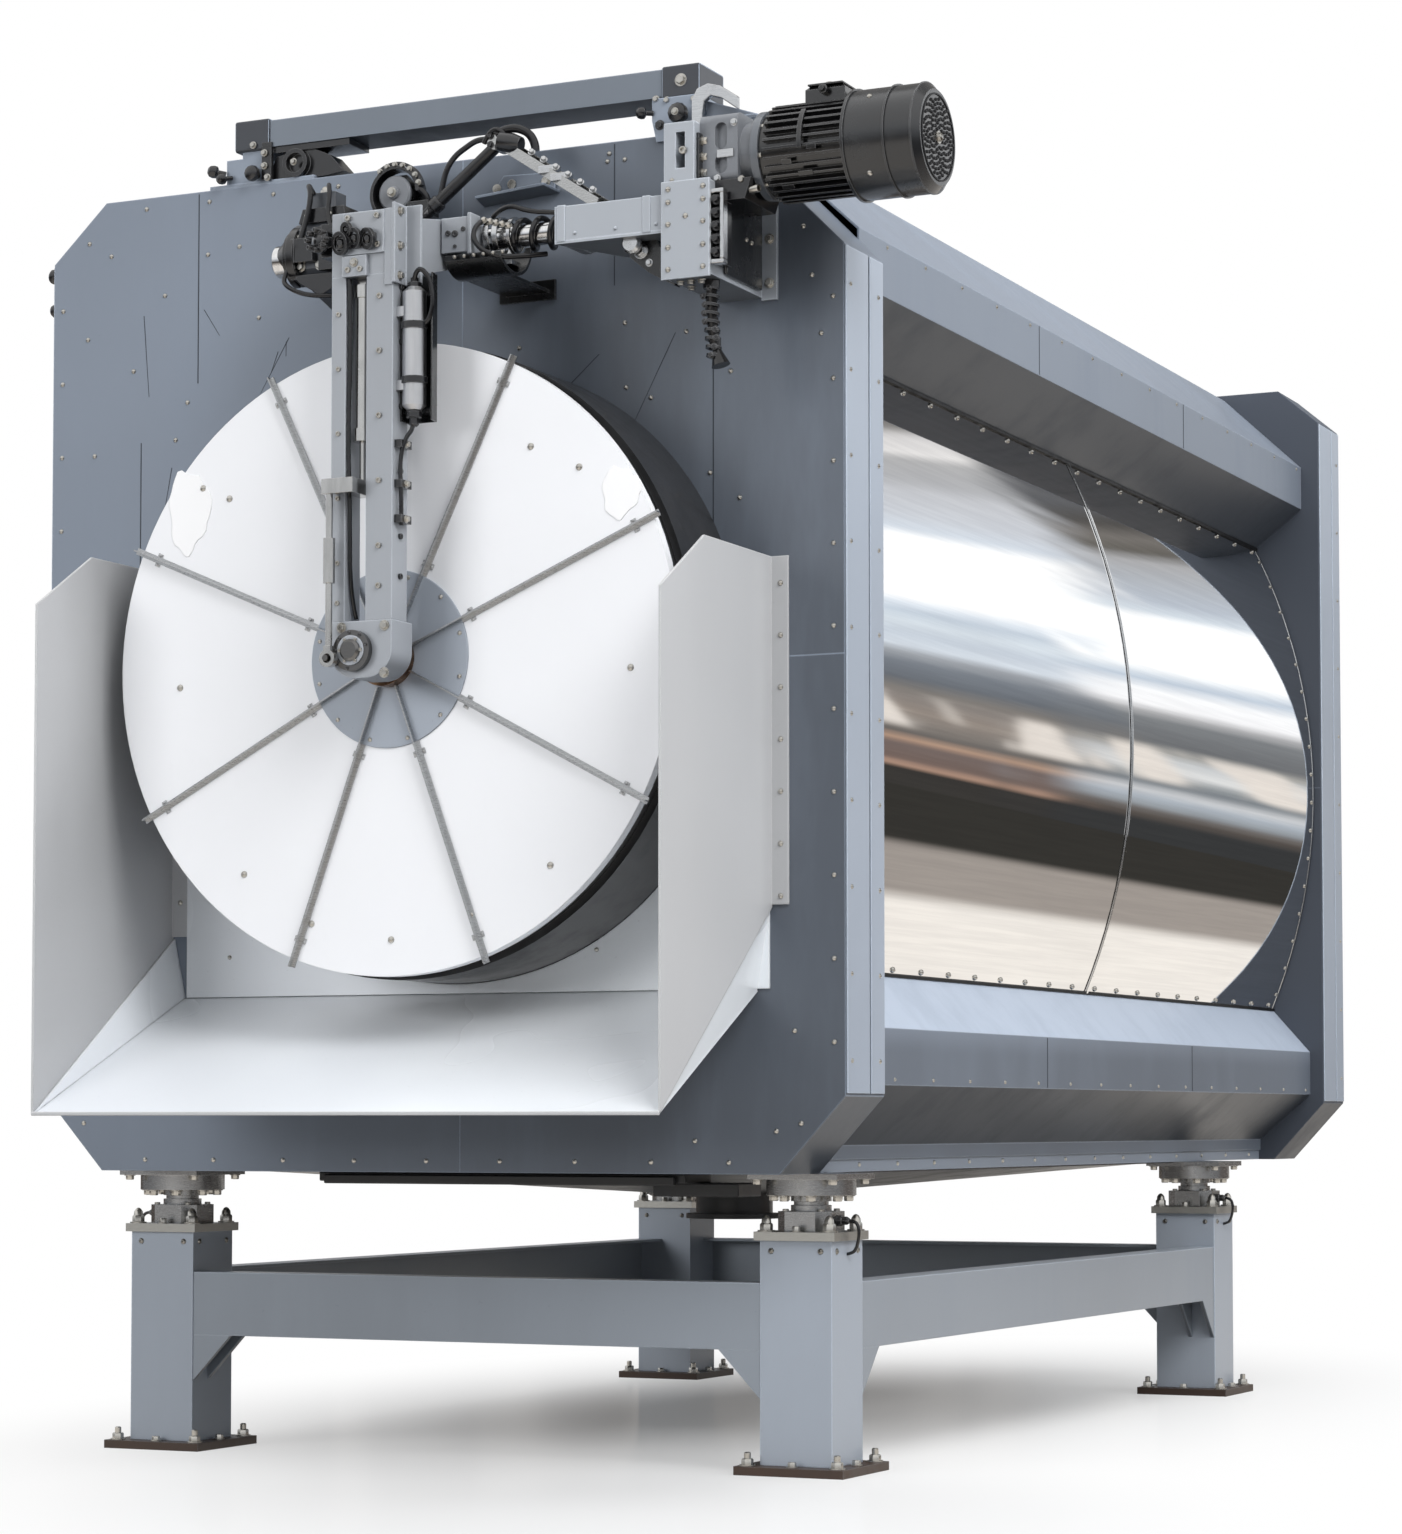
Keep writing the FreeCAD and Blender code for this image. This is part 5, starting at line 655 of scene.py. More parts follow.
def edge_fittings():
    """Strips with their screws down the outer edges of both end frames; the strips are paler than the frame
    as painted light.
    """
    strips, screws = Shape(), Shape()
    for sign in (-1, 1):
        side = sign * PANEL_HALF
        proud = side + sign * 0.0035
        top = PANEL_TOP - (RIGHT_CHAMFER if sign > 0 else LEFT_CHAMFER)
        for start, high, pitch, lines in ((FACE_Y, top - 0.004, (top - 0.92) / 9, (0.025, 0.170)),
                                          (REAR_Y - 0.199, 2.678, 0.194, (0.170,))):
            for y0, y1 in ((0.003, 0.118), (0.126, 0.196)):
                strips.block(side, proud, start + y0, start + y1, 0.775, high)
            for y in lines:
                for k in range(10):
                    screws.rivet((proud, start + y, 0.84 + k * pitch), X * sign, 0.005, 0.0035)
    strips.piece("edge_strips", "strip_paint", bevel=0.001)
    screws.piece("edge_screws", "bolt_zinc")


def skin_circle():
    """Centre (x, z) and radius of the side skin's arc."""
    (ax, az), (bx, bz), (cx, cz) = SKIN_FOOT, SKIN_BELLY, SKIN_TOP
    d = 2 * (ax * (bz - cz) + bx * (cz - az) + cx * (az - bz))
    a, b, c = ax ** 2 + az ** 2, bx ** 2 + bz ** 2, cx ** 2 + cz ** 2
    x = (a * (bz - cz) + b * (cz - az) + c * (az - bz)) / d
    z = (a * (cx - bx) + b * (ax - cx) + c * (bx - ax)) / d
    return x, z, math.dist((x, z), (ax, az))


def skin_fittings():
    """Rivets, dark gaps and turned hems round the polished skins, dark strips along their top and foot as
    painted shadow lines, and the cowls' joints.
    """
    cx, cz, r = skin_circle()
    low, high = (math.atan2(z - cz, x - cx) for x, z in (SKIN_FOOT, SKIN_TOP))
    rivets, joints, gaps_and_shadow_lines, hems = Shape(), Shape(), Shape(), Shape()

    def on_skin(y, angle, radius=0.006, height=0.0042, proud=0.0):
        out = Vector((math.cos(angle), 0, math.sin(angle)))
        rivets.rivet(Vector((cx, y, cz)) + out * (r + proud), out, radius, height)

    def arc(shape, y, proud, thickness, width):
        shape.ring((cx, y, cz), Y, r + proud, thickness, 48, math.pi / 2 - high, high - low, width)

    for k in range(20):
        y = SIDE_Y0 + 0.06 + k * (SIDE_Y1 - SIDE_Y0 - 0.12) / 19
        on_skin(y, high - 0.012, 0.007, 0.006)
        on_skin(y, low + 0.009, 0.007, 0.006)
    for k in range(17):
        angle = low + 0.03 + k * (high - low - 0.06) / 16
        on_skin(SIDE_Y1 - 0.028, angle)
        on_skin(SIDE_Y0 + 0.028, angle)
        on_skin(SEAM_Y + 0.012, angle, 0.0036, 0.003, 0.002)
    for k in range(15):
        y = SIDE_Y0 + 0.10 + k * 0.215
        rivets.rivet((0.762, y, 0.628), X, 0.0055, 0.004)
        rivets.rivet((0.912, y + 0.05, 0.806), X, 0.0045, 0.0035)
        rivets.rivet((0.900, y + 0.05, 2.546), X, 0.0045, 0.0035)
    for y in (SIDE_Y0 + 1.07, SIDE_Y0 + 2.14):
        joints.block(0.912, 0.9126, y, y + 0.003, 0.796, 0.910)
        joints.block(0.900, 0.9006, y, y + 0.003, 2.442, 2.555)
    # Dark strips along the skin's top and foot: painted shadow lines.
    for z0, z1, x in ((2.330, 2.338, 0.7665), (1.0275, 1.0335, 0.8065)):
        gaps_and_shadow_lines.block(x - 0.004, x + 0.005, SIDE_Y0, SIDE_Y1, z0, z1)
    for gap_y, hem_y in ((SEAM_Y, SEAM_Y + 0.006), (SIDE_Y1 - 0.004, SIDE_Y1 - 0.010)):
        arc(gaps_and_shadow_lines, gap_y, 0.0003, 0.0012, 0.0024)
        arc(hems, hem_y, 0.0004, 0.0014, 0.0080)
    rivets.mirrored().piece("side_rivets", "bolt_zinc")
    joints.mirrored().piece("cowl_joints", "seam")
    gaps_and_shadow_lines.mirrored().piece("skin_gaps_and_shadow_lines", "gap", bevel=0.0005)
    hems.mirrored().piece("skin_hems", "silver")


def roof_and_rear():
    """Bolts of the rear cover and the feed flange, and the roof's rivets and laps."""
    bolts, laps = Shape(), Shape()
    right = [(PANEL_HALF - 0.150, 0.655), (PANEL_HALF - 0.045, 0.80), (PANEL_HALF - 0.045, 2.66),
             (PANEL_HALF - 0.135, 2.735)]
    for x, z in rows(right + [(-x, z) for x, z in reversed(right)], 0.16):
        bolts.bolt((x, REAR_Y + 0.006, z), Y, 0.009, 0.007)
    for c, s in around(12, 0.5):
        bolts.bolt((DRUM.x + 0.2 * c, REAR_Y + 0.014, DRUM.z + 0.2 * s), Y, 0.012, 0.010)
    for k in range(8):
        for x in (-0.64, 0.64):
            bolts.rivet((x, SIDE_Y0 + 0.12 + k * 0.42, ROOF_TOP), Z)
    for y in (SIDE_Y0 + 0.75, SIDE_Y0 + 1.60, SIDE_Y0 + 2.45):
        laps.block(-0.655, 0.655, y - 0.018, y + 0.018, ROOF_TOP, ROOF_TOP + 0.006)
    bolts.piece("rear_bolts", "bolt_zinc")
    laps.piece("roof_laps", "frame_paint", bevel=0.0015)


def drum_motor_fittings():
    """Terminal box, fins and flange bolts of the gearmotor on the rear cover."""
    low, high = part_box("drum_gearmotor")
    shaft = ((low[0] + high[0]) / 2, 0, (low[2] + high[2]) / 2)
    lid, fins = Shape(shaft), Shape(shaft)
    lid.block(-0.05, 0.05, 2.27, 2.38, 0.083, 0.135)
    for k in range(9):
        fins.ring((0, 2.262 + k * 0.021, 0), Y, 0.0885, 0.007, 32, width=0.005)
    for c, s in around(4, 0.5):
        fins.bolt((0.086 * c, 2.249, 0.086 * s), Y, 0.009, 0.008)
    lid.piece("drum_motor_terminals", "cast_grey", bevel=0.006)
    fins.piece("drum_motor_ribs", "cast_grey")


def trough():
    """Dark lip of the drain pan under the front panel."""
    tray = Shape(FRONT)
    tray.block(-0.42, 0.47, 0.27, 0.40, 0.589, 0.609)
    tray.block(-0.40, 0.45, 0.255, 0.27, 0.584, 0.604)
    tray.block(0.36, 0.56, 0.34, 0.46, 0.560, 0.589)
    tray.piece("drip_lip", "trough_steel", bevel=0.003)


# Chute

def chute_fittings():
    """Rivets of the chute's flanges and back plate, and the floor's folded lip."""
    rivets, lip = Shape(FRONT), Shape(FRONT)
    for k in range(7):
        rivets.rivet((0.812, -0.005, 1.17 + k * 0.105), -Y, 0.006, 0.0045)
        rivets.rivet((-0.606, -0.005, 1.19 + k * 0.105), -Y, 0.006, 0.0045)
    for k in range(6):
        rivets.rivet((-0.48 + k * 0.22, -0.006, 1.07), -Y, 0.005, 0.004)
    rivets.piece("chute_rivets", "bolt_zinc")
    lip.block(-0.629, 0.789, -0.519, -0.513, 0.731, 0.739)
    lip.piece("chute_lip", "chute_paint", bevel=0.0015)


# Door

DOOR_SCREWS = [(-0.419, 1.617), (-0.302, 2.004), (0.508, 2.011), (0.622, 1.607), (-0.261, 1.225),
               (0.446, 1.224), (0.086, 1.084), (-0.366, 2.030), (0.40, 2.06), (-0.10, 1.12), (0.27, 1.13)]


def door_fittings():
    """Screws, the ribs' clips and the centre plate's rivets."""
    middle = (DRUM.x, DOOR_Y, DRUM.z)
    screws, clips, centre = Shape((0, DOOR_Y, 0)), Shape(middle), Shape(middle)
    for x, z in DOOR_SCREWS:
        screws.rivet((x, 0, z), -Y, 0.0075, 0.0045)
    for angle in (25.5, 67.0, 118.0, 160.0):
        for a in (-math.radians(angle), math.radians(angle)):
            out = Vector((math.sin(a), 0, math.cos(a)))
            side = Vector((out.z, 0, -out.x))
            for reach in (0.600, 0.205):
                clip = ((-0.014, -0.006), (0.014, -0.006), (0.014, 0.006), (-0.014, 0.006))
                clips.prism([out * (reach + v) + side * u for u, v in clip], (0, -0.0022, 0))
                for u in (-0.0105, 0.0105):
                    clips.rivet(out * reach + side * u - Y * 0.0022, -Y, 0.0035, 0.0030)
    for c, s in around(12, 0.5):
        centre.rivet((0.168 * s, -0.003, 0.168 * c), -Y, 0.005, 0.0035)
    screws.piece("door_screws", "bolt_zinc", "door")
    clips.piece("rib_clips", "rib_steel", "door", 0.0006)
    centre.piece("centre_rivets", "bolt_zinc", "door")


def door_patches():
    """Two thin patches of uneven outline on the door's white face."""
    random.seed(9)
    for name, x, z, across, up in (("left", -0.400, 1.985, 0.050, 0.085),
                                   ("right", 0.600, 1.955, 0.042, 0.050)):
        patch = Shape((x, DOOR_Y, z))
        outline = []
        for k in range(36):
            a = math.tau * k / 36
            reach = 1 + 0.10 * math.sin(3 * a + 1) + 0.06 * math.sin(7 * a) + random.uniform(-0.03, 0.03)
            outline.append((across * reach * math.cos(a), up * reach * math.sin(a)))
        patch.plate(outline, -0.0016, 0.001)
        patch.piece("door_patch_" + name, "door_patch", "door", 0.0006)


# Arm

def strut_fittings():
    """Screws, clips, head plates and the line in the arm's struts."""
    screws, plates, clips = Shape(ARM_FRONT), Shape(ARM_FRONT), Shape(ARM_FRONT)
    for z in (1.78, 1.86, 1.99, 2.12, 2.25, 2.36):
        screws.screw((0.134, 0, z), -Y, 0.006, 0.005)
        screws.screw((0.040, 0, z - 0.03), -Y, 0.005, 0.004)
        clips.screw((0.164, 0.030, z + 0.02), X, 0.006, 0.006)
    for z in (1.905, 1.975, 2.055):
        clips.block(0.164, 0.180, 0.008, 0.050, z, z + 0.016)
        screws.bolt((0.180, 0.028, z + 0.008), X, 0.006, 0.006)
    plates.block(0.052, 0.146, -0.007, 0.001, 2.446, 2.532)
    plates.block(0.052, 0.108, -0.010, 0.001, 2.402, 2.444)
    plates.block(0.146, 0.164, -0.004, 0.001, 2.380, 2.534)
    plates.block(0.164, 0.171, -0.006, 0.090, 2.384, 2.545)
    plates.block(0.164, 0.205, 0.040, 0.047, 2.384, 2.545)
    for x, z in ((0.066, 2.520), (0.132, 2.520), (0.066, 2.416), (0.094, 2.416), (0.134, 2.462)):
        screws.screw((x, -0.009, z), -Y, 0.006, 0.005)
    screws.bolt((0.080, -0.010, 2.430), -Y, 0.007, 0.006)
    for z in (2.400, 2.46, 2.53):
        screws.bolt((0.171, 0.015, z), X, 0.007, 0.006)
    plates.piece("head_plates", "arm_paint", "door_arm", 0.0012)
    head_clutter(clips)
    screws.piece("arm_screws", "bolt_zinc", "door_arm")
    hose("strut_line", ARM_FRONT, [
        (0.062, 0.004, 2.40), (0.066, 0.006, 2.28), (0.059, 0.006, 2.10), (0.065, 0.006, 1.92),
        (0.062, 0.012, 1.77), (0.066, 0.030, 1.72)], 0.0045, "door_arm")


def head_clutter(dark):
    """Black couplings and the grip at the arm's head, added to the struts' clips."""
    for x, z, r in ((0.052, 2.470, 0.020), (0.084, 2.478, 0.017), (0.114, 2.474, 0.018),
                    (0.066, 2.496, 0.012)):
        dark.ring((x, -0.016, z), (0.4, 1, 0.2), r, 0.008, 18)
        dark.turned((x, -0.004, z), -Y, [(0, r * 0.55), (0.012, r * 0.5), (0.016, r * 0.3)], 10)
    dark.block(0.040, 0.130, -0.012, -0.004, 2.458, 2.486)
    dark.block(-0.010, 0.024, 0.012, 0.052, 2.452, 2.520)
    grip = (-0.5, -0.8, 0)
    dark.knob((0.012, 0.020, 2.482), grip, 0.026, 0.040)
    for c, s in around(8):
        dark.screw((0.020 * c, -0.012, 2.482 + 0.020 * s), grip, 0.006, 0.012)
    dark.piece("head_clutter", "bolt_black", "door_arm", 0.001)


def canister_fittings():
    """Leads, end caps and straps of the canister beside the arm."""
    middle = (0.194, ARM_Y + 0.034, 0)
    hose("canister_lead", middle, [
        (0, 0, 2.13), (0, 0, 2.095), (-0.012, -0.014, 2.075), (-0.022, -0.018, 2.03),
        (-0.018, -0.018, 1.96), (-0.020, -0.014, 1.90)], 0.0045, "door_arm")
    hose("canister_feed", middle, [
        (0, 0, 2.376), (0, -0.004, 2.40), (0.021, -0.014, 2.415), (0.038, -0.004, 2.39), (0.044, 0, 2.34),
        (0.028, 0, 2.30), (0.011, 0, 2.30)], 0.005, "door_arm")
    ends = Shape(middle)
    ends.turned((0, 0, 2.128), -Z, [
        (0, 0.016), (0.012, 0.016), (0.012, 0.010), (0.026, 0.010), (0.030, 0.006)], 12)
    ends.turned((0, 0, 2.377), Z, [(0, 0.014), (0.010, 0.014), (0.010, 0.008), (0.020, 0.008)], 12)
    for z in (2.19, 2.30):
        ends.ring((0, 0, z), Z, 0.0255, 0.003, 28, width=0.014)
    ends.piece("canister_ends", "bolt_black", "door_arm")


def hub_fittings():
    """Screws of the hub's housing and the crank's notched rim."""
    middle = (DRUM.x, ARM_Y, DRUM.z)
    screws, rim = Shape(middle), Shape(middle)
    for c, s in around(6):
        screws.screw((0.024 * c, -0.018, 0.024 * s), -Y, 0.0035, 0.003)
    for x, z in ((-0.030, 0.048), (0.068, 0.048), (0.068, -0.046)):
        screws.bolt((x, 0, z), -Y, 0.008, 0.006)
    screws.piece("hub_screws", "bolt_zinc", "door_arm")
    rim.ring((0, -0.012, 0), Y, 0.0365, 0.003, 32, width=0.004)
    for k in range(7):
        a = math.tau * k / 9 + 0.3
        rim.screw((0.0355 * math.cos(a), -0.0155, 0.0355 * math.sin(a)), -Y, 0.0032, 0.003)
    rim.piece("crank_rim", "bolt_black", "clamp_crank")


# Torque shaft's left end and the brackets round it

def left_end_fittings():
    """Castings, screws and hoses round the bearing block at the shaft's left end."""
    end = (-0.196, SHAFT.y, SHAFT.z)
    dark, bright = Shape(end), Shape(end)
    for c, s in around(6):
        bright.screw((-0.016, 0.044 * c, 0.044 * s), -X, 0.0065, 0.006)
    for x in (0.020, 0.065, 0.110):
        for z in (0.034, -0.026):
            bright.bolt((x, -0.044, z), -Y, 0.008, 0.007)
    for x in (0.030, 0.085):
        bright.rivet((x, -0.040, 0.081), -Y, 0.006, 0.005)
    bright.acorn((0.052, 0, 0.132), Z, 0.011, 0.018)
    dark.ring((-0.010, 0, 0), X, 0.058, 0.006, 30, 0.2, 4.4, width=0.014)
    dark.ring((0.004, 0, 0), X, 0.066, 0.008, 30, 0.6, 3.4, width=0.018)
    dark.block(0.006, 0.058, -0.064, -0.044, -0.020, 0.030)
    dark.block(0.070, 0.128, -0.060, -0.044, -0.040, 0.052)
    dark.plate([(0.010, 0.066), (0.125, 0.066), (0.118, 0.096), (0.020, 0.096)], -0.040, 0.020)
    dark.plate([(0.002, -0.044), (0.134, -0.044), (0.120, -0.066), (0.070, -0.090),
                (0.020, -0.062)], -0.050, -0.010)
    dark.turned((-0.004, -0.012, 0.006), (-1, -0.25, 0.1), [
        (0, 0.030), (0.010, 0.033), (0.026, 0.033), (0.034, 0.026), (0.044, 0.014)], 12)
    for c, s in around(12):
        dark.screw((-0.002, 0.050 * c, 0.050 * s), -X, 0.007, 0.010)
    dark.piece("bearing_clutter", "bolt_black", bevel=0.002)
    bright.piece("bearing_bolts", "bolt_zinc")
    hose("bearing_hose_a", end, [
        (0.036, -0.022, 0.130), (0.030, -0.036, 0.150), (0.044, -0.046, 0.130), (0.040, -0.048, 0.090),
        (0.030, -0.052, 0.050), (0.020, -0.060, 0.010)], 0.006)
    hose("bearing_hose_b", end, [
        (0.074, -0.020, 0.128), (0.082, -0.040, 0.150), (0.092, -0.050, 0.120), (0.086, -0.054, 0.070),
        (0.110, -0.064, 0.030)], 0.005)
    hose("bearing_hose_c", end, [
        (0.004, -0.052, -0.020), (-0.020, -0.060, -0.050), (0.010, -0.070, -0.078), (0.060, -0.060, -0.095),
        (0.110, -0.030, -0.090)], 0.005)


def guide_fittings():
    """Round sheave under an arched strap beside the arm's head."""
    axle = (-0.032, FACE_Y, 2.660)
    wheel, strap, bright = Shape(axle), Shape(axle), Shape(axle)
    wheel.turned((0, -0.082, 0), -Y, [
        (0, 0.036), (0.004, 0.038), (0.010, 0.038), (0.014, 0.034), (0.014, 0.014), (0.020, 0.013),
        (0.023, 0.009)], 36)
    wheel.piece("guide_sheave", "motor_grey")
    strap.ring((0, -0.078, 0), Y, 0.055, 0.008, 32, math.radians(-125), math.radians(215), width=0.036)
    strap.ring((0, -0.086, 0), Y, 0.064, 0.007, 28, math.radians(-40), math.radians(120), width=0.014)
    strap.block(-0.068, 0.060, -0.094, -0.070, -0.052, -0.040)
    strap.piece("guide_strap", "bolt_black", bevel=0.0015)
    for k in range(7):
        a = math.radians(-35 + 18 * k)
        bright.bolt((0.060 * math.sin(a), -0.094, 0.060 * math.cos(a)), -Y, 0.005, 0.005)
    bright.bolt((0, -0.105, 0), -Y, 0.008, 0.006)
    bright.piece("guide_bolts", "bolt_zinc")
    hose("guide_hose", axle, [
        (0.050, -0.088, 0.010), (0.074, -0.088, -0.006), (0.074, -0.080, -0.034), (0.060, -0.070, -0.056),
        (0.040, -0.060, -0.060)], 0.007)


def sleeve_fittings():
    """Bored cover plate on the sleeve, and the pinch straps on the bare shaft."""
    plate, holes, clamp, bolts = (Shape(SHAFT) for _ in range(4))
    plate.block(0.168, 0.236, -0.066, -0.057, -0.036, 0.036)
    plate.block(0.230, 0.238, -0.070, -0.028, -0.042, 0.042)
    plate.piece("sleeve_cover", "arm_paint", "door_arm", 0.0012)
    for x, z, r in ((0.184, 0.004, 0.006), (0.200, 0.002, 0.007), (0.219, 0.010, 0.005),
                    (0.200, -0.024, 0.004)):
        holes.screw((x, -0.066, z), -Y, r, 0.003)
    holes.piece("sleeve_screws", "bolt_black", "door_arm")
    for x in (0.255, 0.275):
        clamp.ring((x, 0, 0), X, 0.040, 0.004, 30, math.radians(-60), math.radians(300), width=0.012)
    clamp.ring((0.305, 0, 0), X, 0.036, 0.006, 30, width=0.008)
    clamp.block(0.246, 0.284, 0.020, 0.072, -0.050, -0.040)
    clamp.piece("shaft_straps", "silver", bevel=0.0008)
    for k in range(5):
        bolts.bolt((0.250 + k * 0.014, -0.034, 0.030 - 0.004 * k), (0, -1, 0.8), 0.006, 0.006)
    for k in range(6):
        bolts.rivet((0.200 + k * 0.022, -0.068, -0.046), -Y, 0.0045, 0.004)
    bolts.piece("strap_bolts", "bolt_zinc")


def shaft_hoses():
    """Hose wound round the bare shaft, with its tail and loop."""
    turns = [(0.285 + k * 0.0052, 0.033 * math.sin(k * math.tau / 8), 0.033 * math.cos(k * math.tau / 8))
             for k in range(26)]
    hose("shaft_wrap", SHAFT, turns, 0.006)
    hose("wrap_tail", SHAFT, [
        (0.248, -0.030, 0.034), (0.236, -0.062, 0.012), (0.250, -0.070, -0.030), (0.290, -0.060, -0.052),
        (0.340, -0.030, -0.050), (0.370, 0.010, -0.040)], 0.0055)
    hose("wrap_loop", SHAFT, [
        (0.262, -0.020, 0.040), (0.300, -0.040, 0.060), (0.350, -0.030, 0.040), (0.400, -0.020, 0.036),
        (0.426, -0.020, 0.030)], 0.005)


def conduit_fittings():
    """Knuckle at the conduits' top with its hoses, and the bolts along the stay."""
    knuckle = Vector((0.215, FACE_Y - 0.084, 2.744))
    rise = Vector((0.197, 0, 0.150))
    cuffs, bright = Shape(knuckle), Shape(knuckle)
    cuffs.turned(rise.normalized() * 0.045 - rise, rise, [
        (0, 0.0145), (0.004, 0.0175), (0.020, 0.0175), (0.024, 0.0145)], 16)
    for c, s in around(5):
        cuffs.bolt((0.016 * c, -0.021, 0.016 * s), -Y, 0.006, 0.006)
    cuffs.turned((0.012, -0.024, -0.006), (1, 0, -0.25), [(0, 0.020), (0.030, 0.021), (0.050, 0.016)], 14)
    cuffs.piece("conduit_cuffs", "bolt_black", bevel=0.0005)
    hose("knuckle_hose", knuckle, [
        (0.0, -0.02, 0.012), (0.030, -0.02, 0.024), (0.070, -0.015, 0.012), (0.086, -0.01, -0.014),
        (0.086, -0.01, -0.030)], 0.009)
    hose("knuckle_wrap", knuckle, [
        (-0.030, -0.018, -0.004), (-0.010, -0.026, 0.024), (0.020, -0.028, 0.014), (0.040, -0.026, -0.020),
        (0.075, -0.020, -0.050), (0.120, -0.024, -0.078)], 0.0055)
    stay = SHAFT + Vector((0.500, 0, 0.046)) - knuckle
    for t in (0.30, 0.42, 0.54, 0.66, 0.78, 0.90):
        bright.bolt(stay * t + Vector((0.010, -0.014, 0.012)), (0.3, -1, 0.6), 0.006, 0.006)
    for t in (0.5, 0.62):
        x, y, z = stay * t
        bright.block(x - 0.020, x + 0.020, y - 0.018, y + 0.008, z - 0.004, z + 0.012)
    bright.piece("stay_bolts", "silver", bevel=0.0008)


def angle_fittings():
    """Angle on the panel behind the conduits, with its bolts."""
    shelf, bolts = Shape(FRONT), Shape(FRONT)
    shelf.plate([(0.137, 2.643), (0.301, 2.655), (0.301, 2.690), (0.180, 2.695)], -0.006, 0)
    shelf.prism([(0.130, 0, 2.640), (0.310, 0, 2.652), (0.310, -0.075, 2.652), (0.150, -0.075, 2.640)],
                (0, 0, -0.006))
    shelf.piece("slotted_angle", "panel_paint", bevel=0.001)
    for x, z in ((0.165, 2.668), (0.200, 2.674)):
        bolts.turned((x, -0.006, z), -Y, [(0, 0.010), (0.003, 0.010), (0.003, 0.006)], 16)
    bolts.bolt((0.280, -0.006, 2.672), -Y, 0.008, 0.006)
    bolts.piece("angle_bolts", "bolt_zinc")


# Carrier, gear case and motor

def carrier_fittings():
    """Front plate, keeper, dark inserts and side cover of the carrier box, with their screws."""
    front = (0, FACE_Y - 0.255, 0)
    bright, dark, plate, keeper, cover = (Shape(front) for _ in range(5))
    plate.block(0.668, 0.774, -0.006, 0.001, 2.376, 2.572)
    plate.piece("carrier_front", "housing_paint", bevel=0.0015)
    for x0, x1, z0, z1 in (
            (0.776, 0.803, 2.540, 2.549), (0.776, 0.803, 2.400, 2.409), (0.795, 0.803, 2.409, 2.540),
            (0.772, 0.776, 2.400, 2.549)):
        keeper.block(x0, x1, -0.004, 0.018, z0, z1)
    keeper.piece("side_keeper", "silver", bevel=0.003)
    for k in range(5):
        dark.bolt((0.785, 0.004, 2.424 + k * 0.026), -Y, 0.008, 0.012)
    dark.block(0.772, 0.792, 0.018, 0.060, 2.404, 2.546)
    dark.block(0.738, 0.744, 0.010, 0.062, 2.574, 2.668)
    dark.plate([(0.742, 2.572), (0.850, 2.572), (0.836, 2.530), (0.765, 2.530)], 0.025, 0.175)
    dark.piece("carrier_dark_parts", "bolt_black", bevel=0.002)
    cover.block(0.772, 0.781, 0.062, 0.235, 2.392, 2.560)
    cover.piece("carrier_side_cover", "cowl_black", bevel=0.006)
    for x in (0.684, 0.760):
        for z in (2.396, 2.440, 2.486, 2.530, 2.556):
            bright.rivet((x, -0.006, z), -Y, 0.006, 0.005)
    bright.rivet((0.722, -0.006, 2.500), -Y, 0.006, 0.004)
    bright.rivet((0.690, 0, 2.575), -Y, 0.005, 0.004)
    bright.screw((0.715, 0, 2.632), -Y, 0.008, 0.007)
    for z in (2.410, 2.500, 2.566):
        bright.bolt((0.790, 0.247, z), -Y, 0.008, 0.007)
    for k in range(3):
        bright.bolt((0.744, 0.030, 2.590 + k * 0.032), X, 0.008, 0.008)
    for x, y in ((0.700, 0.02), (0.722, 0.02), (0.745, 0.02), (0.700, 0.07)):
        bright.bolt((x, y, 2.376), -Z, 0.007, 0.006)
    for y, z in ((0.155, 2.480), (0.180, 2.478), (0.085, 2.540)):
        bright.rivet((0.781, y, z), X, 0.005, 0.004)
    bright.piece("carrier_screws", "bolt_zinc")


def housing_fittings():
    """Lever bolts under the shaft's housing, and the bands round it."""
    lever, bands = Shape(SHAFT), Shape(SHAFT)
    lever.bolt((0.594, -0.012, -0.061), -Y, 0.012, 0.010)
    lever.bolt((0.612, -0.012, -0.086), -Y, 0.006, 0.006)
    lever.turned((0.585, -0.030, -0.050), -Y, [(0, 0.020), (0.010, 0.021), (0.016, 0.016)], 18)
    lever.piece("lever_bolts", "silver")
    for x in (0.43, 0.62):
        bands.block(x, x + 0.018, -0.062, 0.062, -0.037, 0.037)
    for x in (0.47, 0.56, 0.65):
        bands.rivet((x, -0.060, -0.022), -Y, 0.0045, 0.004)
    bands.piece("housing_bands", "housing_paint", bevel=0.001)


def gooseneck_fittings():
    """Beads down the sensor's bent neck."""
    random.seed(3)
    bead = Shape((0.748, FACE_Y - 0.195, 2.366))
    for k in range(9):
        at = Vector((0.00066 * max(k - 3, 0) ** 1.4, 0, -0.017 * k))
        bead.ring(at, (0.1, 0.1, 1), 0.0135, 0.006, 14)
        c = math.cos(random.uniform(0, math.tau))
        bead.bolt(at + Vector((0.013 * c, -0.012, 0)), (0.4 * c, -1, 0), 0.005, 0.005)
    bead.piece("gooseneck_beads", "bolt_black")


